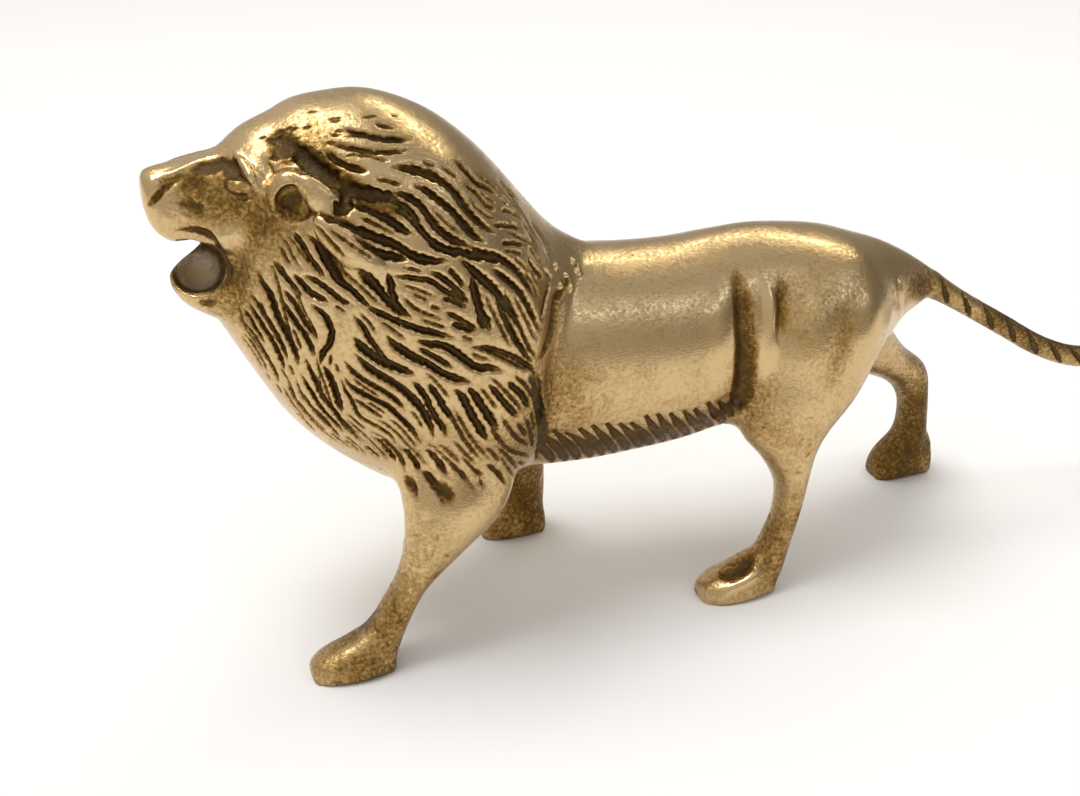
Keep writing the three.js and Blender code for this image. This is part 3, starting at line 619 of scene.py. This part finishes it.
def loft(bm, stations, count, around):
    """Rings along the stations: place, side, up, down, lean and squareness of each."""
    turns = 2 * np.pi * (np.arange(around) + 0.5) / around
    last = None
    for x, y, z, side, up, down, lean, square in smooth_run(stations, count):
        reach = bulge(np.sin(turns), square) * np.where(np.sin(turns) > 0, up, down)
        angle = math.radians(lean)
        places = np.stack(
            [
                x - math.sin(angle) * reach,
                y + side * bulge(np.cos(turns), square),
                z + math.cos(angle) * reach,
            ],
            axis=1,
        )
        ring = bmesh.ops.create_circle(bm, segments=around, radius=1)["verts"]
        for vertex, place in zip(ring, places):
            vertex.co = place
        edges = list({edge for vertex in ring for edge in vertex.link_edges})
        if last is None:
            bmesh.ops.contextual_create(bm, geom=edges)
        else:
            bmesh.ops.bridge_loops(bm, edges=last + edges)
        last = edges
    bmesh.ops.contextual_create(bm, geom=last)


def across(row, half_width):
    """A station across the body from x, top, bottom, share of the width, widest place and squareness."""
    x, top, bottom, share, widest, square = (*row, *(0.5, 2)[len(row) - 4:])
    z = bottom + (top - bottom) * widest
    return (x, 0, z, share * half_width, top - z, z - bottom, 0, square)


def new_object(name, bm):
    bmesh.ops.recalc_face_normals(bm, faces=bm.faces)
    mesh = bpy.data.meshes.new(name)
    bm.to_mesh(mesh)
    bm.free()
    made = bpy.data.objects.new(name, mesh)
    bpy.context.scene.collection.objects.link(made)
    return made


def lofted(name, stations, count, around):
    bm = bmesh.new()
    loft(bm, stations, count, around)
    return new_object(name, bm)


def egg(name, place, sizes, lean=0, turn=0):
    bm = bmesh.new()
    bmesh.ops.create_uvsphere(bm, u_segments=28, v_segments=18, radius=1)
    bmesh.ops.scale(bm, vec=sizes, verts=bm.verts)
    made = new_object(name, bm)
    turned = Matrix.Rotation(math.radians(turn), 4, "Z") @ Matrix.Rotation(-math.radians(lean), 4, "Y")
    made.data.transform(Matrix.Translation(place) @ turned)
    return made


def side_egg(name, side, place, sizes, lean, turn):
    """An egg of one side of the head, leant back and turned outwards."""
    x, y, z = place
    return egg(name, (x, y * side, z), sizes, lean, turn * side)


def applied(made, kind, **settings):
    """The object with one modifier applied to its mesh."""
    modifier = made.modifiers.new(kind.lower(), kind)
    for name, value in settings.items():
        setattr(modifier, name, value)
    graph = bpy.context.evaluated_depsgraph_get()
    mesh = bpy.data.meshes.new_from_object(made.evaluated_get(graph))
    made.modifiers.clear()
    made.data = mesh
    return made


def joined(name, objects):
    bm = bmesh.new()
    for made in objects:
        bm.from_mesh(made.data)
        bpy.data.objects.remove(made)
    return new_object(name, bm)


def cut(target, tools):
    for tool in tools:
        applied(target, "BOOLEAN", operation="DIFFERENCE", object=tool, solver="EXACT")
    return target


def build_form():
    torso = lofted("torso", [across(row, BODY_WIDTH / 2) for row in TORSO], 60, 64)
    mane = lofted("mane", [across(row, MANE_WIDTH / 2) for row in MANE], 70, 80)
    muzzle = lofted("muzzle", [across(row, MUZZLE_WIDTH / 2) for row in MUZZLE], 40, 48)
    jaw = lofted("jaw", [across(row, JAW_WIDTH / 2) for row in JAW], 24, 40)
    thick = TAIL_THICKNESS / 2
    tail = lofted("tail", [(x, 0, z, s * thick, s * thick, s * thick, a, 2) for x, z, s, a in TAIL], 110, 24)
    shank = SHANK_THICKNESS / 2
    limbs = [
        lofted(name, [(x, y, z, s * shank, d, d, a, 2) for x, y, z, s, d, a in rows], 50, 32)
        for name, rows in LEGS.items()
    ]
    for y, rows in PAWS:
        stations = [across((x, top, -0.9, share, 0.3, 2.4), PAW_WIDTH / 2) for x, top, share in rows]
        limbs.append(lofted("paw", [(s[0], y, *s[2:]) for s in stations], 20, 32))
    body = joined("body", [torso, mane, muzzle, jaw, tail, *limbs])
    applied(body, "REMESH", mode="VOXEL", voxel_size=COARSE_VOXEL)
    fill_joins(Clay(body), JOINS)

    sockets = [side_egg("socket", side, *SOCKET) for side in SIDES]
    ear_hollows = [side_egg("ear hollow", side, *EAR_SCOOP) for side in SIDES]
    ear_cups = [side_egg("ear", side, *EAR_CUP) for side in SIDES]
    tools = [egg("mouth scoop", *SCOOP), *sockets, *ear_hollows]
    cut(body, tools)
    for cup, tool in zip(ear_cups, ear_hollows):
        cut(cup, [tool])
    for tool in tools:
        bpy.data.objects.remove(tool)
    features = [side_egg(name, side, *row) for side in SIDES for name, row in FEATURES.items()]
    whole = joined("lion_casting", [body, *ear_cups, *features])
    return applied(whole, "REMESH", mode="VOXEL", voxel_size=VOXEL)


# Sculpting

def neighbour_middle(co, ends, count):
    """The middle of each place's neighbours."""
    a, b = ends.T
    total = [np.bincount(a, w[b], len(co)) + np.bincount(b, w[a], len(co)) for w in co.T]
    return np.stack(total, axis=1) / np.maximum(count, 1)[:, None]


class Clay:
    """The places, edges and normals of a mesh as arrays."""

    def __init__(self, made):
        self.made = made
        mesh = made.data
        self.co = np.empty(len(mesh.vertices) * 3, np.float32)
        mesh.vertices.foreach_get("co", self.co)
        self.co = self.co.reshape(-1, 3).astype(float)
        edges = np.empty(len(mesh.edges) * 2, np.int32)
        mesh.edges.foreach_get("vertices", edges)
        self.ends = edges.reshape(-1, 2)
        self.count = np.bincount(self.ends.ravel(), minlength=len(self.co))
        # Darkness of the patina, which also carries the painted shade and the painted highlight of a few
        # strokes.
        self.patina_and_painted_light = np.zeros(len(self.co))
        self.refresh()

    def refresh(self):
        mesh = self.made.data
        mesh.vertices.foreach_set("co", self.co.astype(np.float32).ravel())
        mesh.update()
        normals = np.empty(len(self.co) * 3, np.float32)
        mesh.vertex_normals.foreach_get("vector", normals)
        self.normals = normals.reshape(-1, 3).astype(float)

    def relax(self, amount, rounds):
        """Smooths every place by a share of its distance from its neighbours' middle."""
        for _ in range(rounds):
            self.co += amount * (neighbour_middle(self.co, self.ends, self.count) - self.co)
        self.refresh()


def fill_joins(clay, joins):
    """Fills the inner corners where one form meets another."""
    for place, reach, rounds, only_fills in joins:
        mask = fade(np.linalg.norm(clay.co - place, axis=1), reach)
        near = np.flatnonzero(mask)
        Patch(clay, near).smooth(np.sqrt(mask[near]), rounds, only_fills)
    clay.refresh()


class Patch:
    """A few places of a clay, with the edges among them."""

    def __init__(self, clay, ids):
        self.clay, self.ids = clay, ids
        order = np.full(len(clay.co), -1)
        order[ids] = np.arange(len(ids))
        ends = order[clay.ends]
        self.ends = ends[(ends >= 0).all(axis=1)]
        self.count = np.bincount(self.ends.ravel(), minlength=len(ids))

    def smooth(self, mask, rounds, only_fills):
        """Pulls each place to its neighbours' middle by its mask, or only outwards where it fills."""
        for done in range(rounds):
            if done % 10 == 0:
                self.clay.refresh()
                normals = self.clay.normals[self.ids]
            co = self.clay.co[self.ids]
            pull = neighbour_middle(co, self.ends, self.count) - co
            out = np.einsum("ij,ij->i", pull, normals) > 0 if only_fills else 1
            self.clay.co[self.ids] = co + (0.7 * mask * out * (self.count > 2))[:, None] * pull


def fade(distance, reach):
    """One at no distance, easing to nothing at the reach."""
    t = np.clip(1 - distance / reach, 0, 1)
    return t * t * (3 - 2 * t)


def to_line(points, line):
    """Distance from each point to a line of places, and how far along the line its nearest place is."""
    line = np.asarray(line, float)
    lengths = np.linalg.norm(np.diff(line, axis=0), axis=1)
    total = lengths.sum()
    best = np.full(len(points), 1e9)
    along = np.zeros(len(points))
    run = 0.0
    for a, b, length in zip(line[:-1], line[1:], lengths):
        t = np.clip((points - a) @ (b - a) / length**2, 0, 1)
        distance = np.linalg.norm(points - a - t[:, None] * (b - a), axis=1)
        closer = distance < best
        best[closer] = distance[closer]
        along[closer] = (run + t[closer] * length) / total
        run += length
    return best, along


def chart(co, side):
    """Places on the mane spread out on a chart about its middle, seen from one side."""
    away = co - MANE_MIDDLE
    away /= np.linalg.norm(away, axis=1)[:, None]
    angle = np.arccos(np.clip(side * away[:, 1], -1, 1))
    turn = np.arctan2(away[:, 2], away[:, 0])
    return np.stack([np.cos(turn), np.sin(turn)], axis=1) * (angle * CHART_SCALE)[:, None]


def inside(place, outline):
    """Whether a place on the chart is within a closed outline."""
    x, y = place
    crossings = 0
    for (ax, ay), (bx, by) in zip(outline, outline[1:] + outline[:1]):
        if (ay > y) != (by > y) and x < ax + (y - ay) * (bx - ax) / (by - ay):
            crossings += 1
    return crossings % 2 == 1


def finer_grooves():
    """Thin grooves between the drawn ones. Each follows the run of its neighbours and ends beside them."""
    lines = [smooth_run(stops, 4 * len(stops)) for _, *stops in GROOVES]
    steps = np.vstack([np.diff(line, axis=0) for line in lines])
    ways = steps / np.linalg.norm(steps, axis=1)[:, None]
    middles = np.vstack([(line[1:] + line[:-1]) / 2 for line in lines])
    walls = np.concatenate([np.full(len(line) - 1, row[0]) for line, row in zip(lines, GROOVES)])
    taken = middles

    def room(place):
        return (np.linalg.norm(taken - place, axis=1) - walls).min() if inside(place, MANE_EDGE) else 0

    made = []
    seeds = rng.uniform((-32, -26), (27, 29), (FINE_SEEDS, 2))
    for seed in seeds:
        plain = any(np.linalg.norm(seed - place) < reach for place, reach in PLAIN_LOCKS)
        if plain or not FINE_GAP < room(seed) < FINE_REACH:
            continue
        line = [seed]
        for way in (1, -1):
            place = seed
            for _ in range(FINE_STEPS):
                weights = 1 / (np.sum((middles - place) ** 2, axis=1) + 0.3) ** 2
                run = weights @ ways
                place = place + way * FINE_STEP * run / np.linalg.norm(run)
                if room(place) < 0.6 * FINE_GAP:
                    break
                line.insert(len(line) if way > 0 else 0, place)
        if len(line) > 4:
            made.append((FINE_WIDTH, line))
            taken = np.vstack([taken, line])
            walls = np.concatenate([walls, np.full(len(line), FINE_WIDTH)])
    return made


def carve_mane(clay):
    """Grooves with flat floors, steep walls and wavering edges, shallower where they are thin."""
    grooves = [(width, smooth_run(stops, 4 * len(stops))) for width, *stops in GROOVES]
    grooves += [(width, np.array(line)) for width, line in finer_grooves()]
    on_mane = (clay.co[:, 0] < -12) & (clay.co[:, 2] > 20)
    for side in SIDES:
        ids = np.flatnonzero(on_mane & (clay.co[:, 1] * side > 0.3))
        places = chart(clay.co[ids], side)
        depth = np.zeros(len(ids))
        for half_width, line in grooves:
            low, high = line.min(0) - 2 * half_width, line.max(0) + 2 * half_width
            near = np.flatnonzero(np.all((places > low) & (places < high), axis=1))
            distance, along = to_line(places[near], line)
            taper = np.clip(5 * np.minimum(along, 1 - along), 0.05, 1) ** 0.6
            u, v = places[near].T
            waver = 1 + 0.3 * np.sin(3.1 * u + 0.7) * np.sin(3.7 * v + 1.1)
            within = np.clip((0.68 * half_width * taper * waver - distance) / WALL + 0.36, 0, 1)
            groove = within**2 * (3 - 2 * within) * min(1.3, 0.5 + half_width) * taper
            depth[near] = np.maximum(depth[near], groove)
        clay.co[ids] -= clay.normals[ids] * (GROOVE_DEPTH * depth)[:, None]
        clay.patina_and_painted_light[ids] = np.maximum(clay.patina_and_painted_light[ids], depth)
    clay.refresh()


def press(clay, line, half_width, push, dark, edge=None):
    """One sculpting stroke along a line of places, round in section or with walls of a given slope."""
    line = np.array(line, float)
    low, high = line.min(0) - 1.5 * half_width, line.max(0) + 1.5 * half_width
    near = np.flatnonzero(np.all((clay.co > low) & (clay.co < high), axis=1))
    distance, along = to_line(clay.co[near], smooth_run(line, 4 * len(line)))
    end = fade(np.abs(2 * along - 1) - 0.3, 0.7)
    if edge:
        amount = np.clip((half_width * (0.3 + 0.7 * end) - distance) / edge + 0.5, 0, 1)
    else:
        amount = fade(distance, half_width * (0.5 + 0.5 * end)) * end
    clay.co[near] += clay.normals[near] * (push * amount)[:, None]
    clay.patina_and_painted_light[near] += dark * np.sqrt(amount)


def press_both(clay, strokes):
    for line, half_width, push, dark in strokes:
        for side in SIDES:
            press(clay, [(x, -side * y, z) for x, y, z in line], half_width, push, dark)
    clay.refresh()


def torso_place(x, dip, side):
    """The place on the torso where a ray from its middle leaves it, dipping by an angle."""
    rows = np.array(TORSO, float)
    top, bottom, share = (np.interp(x, rows[:, 0], rows[:, k]) for k in (1, 2, 3))
    wide, tall = share * BODY_WIDTH / 2, (top - bottom) / 2
    middle, start = (top + bottom) / 2, 48.0
    across_part, down_part = math.cos(dip), math.sin(dip)
    a = (across_part / wide) ** 2 + (down_part / tall) ** 2
    b = 2 * (start - middle) * down_part / tall**2
    c = ((start - middle) / tall) ** 2 - 1
    reach = (-b + math.sqrt(b * b - 4 * a * c)) / (2 * a)
    return (x, side * reach * across_part, start + reach * down_part)


def roughen(clay):
    """Lumps of rough metal at the rear of the mane, nicks over the forehead and pits low on the legs."""
    for side in SIDES:
        for x, y, z in LUMPS:
            place = np.array((x, -side * y, z))
            slip = rng.uniform(-LUMP_SLIP, LUMP_SLIP, 3)
            press(clay, [place - slip, place, place + slip], 1.1, 0.6, -0.3)
            press(clay, [place + 1.3 * slip[::-1], place + (0.5, 0, -1)], 0.6, -0.5, 0.7)
    brow = np.linalg.norm((clay.co - (-56, 0, 93)) / (15, 14, 6), axis=1) < 1
    for spot in rng.choice(np.flatnonzero(brow & (np.abs(clay.co[:, 1]) > 5)), BROW_NICKS):
        place, long = clay.co[spot], rng.uniform(0.5, 1.8)
        fall = rng.uniform(-0.1, 0.3) * long
        press(clay, [place - (long, 0, -fall), place, place + (long, 0, -fall)], 0.36, -0.16, 0.6)
    low = (clay.co[:, 2] < 38) & (np.abs(clay.co[:, 1]) > 9) & (clay.co[:, 0] < 74)
    for spot in rng.choice(np.flatnonzero(low), LEG_PITS):
        place, slip = clay.co[spot], rng.uniform(-0.8, 0.8, 3)
        half_width = rng.uniform(0.5, 1.2)
        push = rng.uniform(-0.16, 0.1)
        dark = rng.uniform(-0.1, 0.3)
        press(clay, [place, place + slip], half_width, push, dark)
    for line in NICKS:
        press(clay, line, 0.35, -0.12, 0.6)


def carve_fringe(clay):
    """Wide slanting strokes with thin ridges between them along the lower flank."""
    for side in SIDES:
        for k in range(FRINGE_COUNT):
            x = FRINGE_START + FRINGE_STEP * k + rng.uniform(-0.2, 0.2)
            rise = rng.uniform(-0.04, 0.05) + 0.006 * k
            stops = [(-3, -0.52 + rise), *FRINGE_DIPS]
            line = [torso_place(x + aft, dip, side) for aft, dip in stops]
            press(clay, line, 0.84, -0.5, 0.7, edge=0.36)
        band = [torso_place(x, -0.98, side) for x in range(-26, 18, 4)]
        press(clay, band, 5, 0, 0.1)
        rise_to_fold = [torso_place(x, dip, side) for x, dip in FOLD_DIPS]
        press(clay, rise_to_fold, 2.6, -0.4, 0.6)
    clay.refresh()


def carve_tail(clay):
    """Thin slanting notches down the sides of the tail, and the dark strip along its top."""
    rows = np.array(TAIL, float)
    thick = TAIL_THICKNESS / 2
    top = [(x - thick * s * math.sin(math.radians(a)), 0, z + thick * s) for x, z, s, a in TAIL[2:]]
    press(clay, top, 1.5, 0, 0.6)
    x = NOTCH_START
    while x < NOTCH_END:
        z = np.interp(x, rows[:, 0], rows[:, 1])
        lean = math.radians(np.interp(x, rows[:, 0], rows[:, 3]))
        radius = thick * np.interp(x, rows[:, 0], rows[:, 2])
        for side in SIDES:
            line = []
            for angle in (0.9, 0.3, -0.3, -0.9):
                ahead = -NOTCH_SLANT * radius * angle
                rise = radius * math.sin(angle)
                line.append(
                    (
                        x + ahead * math.cos(lean) - rise * math.sin(lean),
                        side * radius * math.cos(angle),
                        z + ahead * math.sin(lean) + rise * math.cos(lean),
                    )
                )
            press(clay, line, 0.42, -0.5, 0.9, edge=0.4)
        x += NOTCH_STEP * max(math.cos(lean), 0.5)
    clay.refresh()


def stain(clay):
    """Patina that lies over whole regions, strongest in the mouth and low on the legs."""
    mirrored = [((x, y * side, z), *rest) for (x, y, z), *rest in BOTH_SIDE_STAINS for side in SIDES]
    for place, reach, amount in STAINS + mirrored:
        clay.patina_and_painted_light += amount * fade(np.linalg.norm(clay.co - place, axis=1), reach)


def main_form():
    whole = build_form()
    clay = Clay(whole)
    clay.relax(0.6, 4)
    fill_joins(clay, CHEEK_JOINS)
    press_both(clay, BODY_STROKES)
    press_both(clay, HEAD_STROKES)
    for line, half_width, push, dark in PAW_STROKES:
        press(clay, line, half_width, push, dark)
    carve_mane(clay)
    clay.relax(0.35, 2)
    roughen(clay)
    carve_fringe(clay)
    carve_tail(clay)
    clay.patina_and_painted_light = PATINA_AND_PAINTED_LIGHT_CAP * np.tanh(clay.patina_and_painted_light / PATINA_AND_PAINTED_LIGHT_CAP)
    stain(clay)
    return whole, clay


# Material

def colour(hex_value):
    """An sRGB hex colour as linear red, green, blue and alpha."""
    parts = [int(hex_value[k:k + 2], 16) / 255 for k in (1, 3, 5)]
    return (*(c / 12.92 if c <= 0.04045 else ((c + 0.055) / 1.055) ** 2.4 for c in parts), 1)


def node(tree, kind, inputs=None, **settings):
    """Adds a node with its settings. An input is a value, a socket or a node's first output."""
    made = tree.nodes.new(kind)
    for name, value in settings.items():
        setattr(made, name, value)
    for name, value in (inputs or {}).items():
        if isinstance(value, bpy.types.Node):
            value = value.outputs[0]
        if isinstance(value, bpy.types.NodeSocket):
            tree.links.new(value, made.inputs[name])
        else:
            made.inputs[name].default_value = value
    return made


def satin_brass():
    """Sand-cast brass, filed and rubbed satin: warm broad highlights on the high places, fine rubbing marks,
    pits from the sand, and a brown patina that stays in the cuts and on the lower legs. The same browns also
    paint shade under the ear flaps and the mane's rim, and bare brass paints a highlight on the brow's
    facets."""
    material = bpy.data.materials.new("satin cast brass with brown patina")
    material.use_nodes = True
    tree = material.node_tree
    tree.nodes.clear()
    place = node(tree, "ShaderNodeTexCoord").outputs["Object"]
    patina_and_painted_light_value = node(tree, "ShaderNodeAttribute", attribute_name="patina_and_painted_light").outputs["Fac"]
    clouds = node(
        tree,
        "ShaderNodeTexNoise",
        {"Vector": place, "Scale": 1 / (CLOUD_SIZE * METRE), "Detail": 6, "Roughness": 0.62},
    )
    specks = node(
        tree,
        "ShaderNodeTexNoise",
        {"Vector": place, "Scale": 1 / (SPECK_SIZE * METRE), "Detail": 5, "Roughness": 0.65},
    )
    mottle = node(tree, "ShaderNodeMapRange", {"Value": clouds, "To Min": -0.4, "To Max": 0.5})
    grain = node(tree, "ShaderNodeMapRange", {"Value": specks, "To Min": -0.6, "To Max": 0.65})
    uneven = node(tree, "ShaderNodeMath", {0: mottle, 1: grain}, operation="ADD")
    held = node(tree, "ShaderNodeMapRange", {"Value": patina_and_painted_light_value, "From Max": 0.3, "To Min": 0.4})
    patchy = node(tree, "ShaderNodeMath", {0: uneven, 1: held}, operation="MULTIPLY")
    deep = node(tree, "ShaderNodeMath", {0: patina_and_painted_light_value, 1: patchy}, operation="ADD")
    depth = node(tree, "ShaderNodeMapRange", {"Value": deep, "From Max": 1.6})
    shades = node(tree, "ShaderNodeValToRGB", {"Fac": depth})
    ramp = shades.color_ramp
    ramp.elements.remove(ramp.elements[1])
    for position, shade in PATINA_AND_PAINTED_LIGHT_LAYERS.values():
        stop = ramp.elements.new(position) if position else ramp.elements[0]
        stop.color = colour(shade)
    rough = node(
        tree,
        "ShaderNodeMapRange",
        {"Value": depth, "From Max": 0.45, "To Min": 0.2, "To Max": 0.5},
    )
    rubbed = node(tree, "ShaderNodeMapping", {"Vector": place, "Scale": (0.2, 1, 1), "Rotation": (0, 0.3, 0)})
    marks = node(
        tree,
        "ShaderNodeTexNoise",
        {"Vector": rubbed, "Scale": 1 / (MARK_SIZE * METRE), "Detail": 2, "Roughness": 0.5},
    )
    scratches = node(tree, "ShaderNodeBump", {"Height": marks, "Strength": 0.25, "Distance": 0.0001})
    pitted = node(tree, "ShaderNodeMath", {0: specks, 1: deep}, operation="MULTIPLY", use_clamp=True)
    pits = node(
        tree,
        "ShaderNodeBump",
        {"Height": pitted, "Strength": 0.5, "Distance": 0.0006, "Normal": scratches},
    )
    sunk = node(
        tree,
        "ShaderNodeMapRange",
        {"Value": patina_and_painted_light_value, "From Min": 0.1, "From Max": 0.7, "To Min": 1, "To Max": 0},
        interpolation_type="SMOOTHSTEP",
    )
    walls = node(
        tree,
        "ShaderNodeBump",
        {"Height": sunk, "Strength": 0.8, "Distance": 0.0003, "Normal": pits},
    )
    shader = node(
        tree,
        "ShaderNodeBsdfPrincipled",
        {"Base Color": shades, "Metallic": 1.0, "Roughness": rough, "Normal": walls},
    )
    node(tree, "ShaderNodeOutputMaterial", {"Surface": shader})
    return material


def white_sweep():
    """Matt white studio paper: an even pale ground that takes a soft shadow."""
    material = bpy.data.materials.new("matt white studio paper")
    material.use_nodes = True
    shader = material.node_tree.nodes["Principled BSDF"]
    shader.inputs["Base Color"].default_value = colour(PAPER)
    shader.inputs["Roughness"].default_value = 0.9
    shader.inputs["Specular IOR Level"].default_value = 0.1
    return material


# Studio

def soft_light(name, place, aim, size, watts, tint):
    lamp = bpy.data.lights.new(name, "AREA")
    lamp.shape = "RECTANGLE"
    lamp.size, lamp.size_y = size
    lamp.energy = watts
    lamp.color = colour(tint)[:3]
    made = bpy.data.objects.new(name, lamp)
    made.location = place
    made.rotation_mode = "QUATERNION"
    made.rotation_quaternion = (Vector(aim) - Vector(place)).to_track_quat("-Z", "Y")
    bpy.context.scene.collection.objects.link(made)


def studio(shift):
    bm = bmesh.new()
    bmesh.ops.create_grid(bm, x_segments=1, y_segments=1, size=FLOOR_HALF)
    floor = new_object("paper_floor", bm)
    floor.data.materials.append(white_sweep())

    world = bpy.data.worlds.new("studio air")
    world.use_nodes = True
    tree = world.node_tree
    heading = node(tree, "ShaderNodeTexCoord").outputs["Generated"]
    way = node(tree, "ShaderNodeSeparateXYZ", {"Vector": heading})
    upward = {"Factor": way.outputs["Z"], "A": colour(HORIZON), "B": colour(ZENITH)}
    light = node(tree, "ShaderNodeMix", upward, data_type="RGBA")
    # The room is darker behind the tail.
    brightness = node(
        tree,
        "ShaderNodeMapRange",
        {"Value": way.outputs["X"], "From Min": -0.1, "From Max": 0.9, "To Min": 1.08, "To Max": 0.42},
    )
    tree.links.new(brightness.outputs["Result"], tree.nodes["Background"].inputs["Strength"])
    tree.links.new(light.outputs["Result"], tree.nodes["Background"].inputs["Color"])
    bpy.context.scene.world = world

    for name, settings in LIGHTS.items():
        soft_light(name, *settings)

    lens = bpy.data.cameras.new("camera")
    lens.sensor_width, lens.lens = SENSOR_WIDTH, LENS
    lens.sensor_fit = "HORIZONTAL"
    lens.clip_start = 0.01
    camera = bpy.data.objects.new("camera", lens)
    place = Vector(CAMERA_PLACE) * PART + Vector((shift, 0, 0))
    turned = Matrix((CAMERA_RIGHT, CAMERA_UP, [-v for v in CAMERA_AIM])).transposed()
    camera.matrix_world = Matrix.LocRotScale(place * METRE, turned.to_quaternion(), None)
    bpy.context.scene.collection.objects.link(camera)
    bpy.context.scene.camera = camera
    bpy.context.scene.view_settings.view_transform = "Standard"


whole, clay = main_form()

# The tables' parts become metres in the frame of the casting.
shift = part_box("lion")[0].x / METRE - NOSE * PART
clay.co[:, 2] = np.maximum(clay.co[:, 2], 0)
clay.co = (clay.co * PART + np.array((shift, 0, 0))) * METRE
clay.refresh()
# The patina values also carry painted shade under the ear flaps and the mane's rim, and a painted highlight
# on the brow's facets.
attribute = whole.data.attributes.new("patina_and_painted_light", "FLOAT", "POINT")
attribute.data.foreach_set("value", clay.patina_and_painted_light.astype(np.float32))
triangles = 2 * len(whole.data.polygons)
if triangles > TRIANGLES:
    applied(whole, "DECIMATE", ratio=TRIANGLES / triangles)
whole.data.materials.append(satin_brass())
whole.data.shade_smooth()
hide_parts("lion")
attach(whole, "root")
studio(shift)
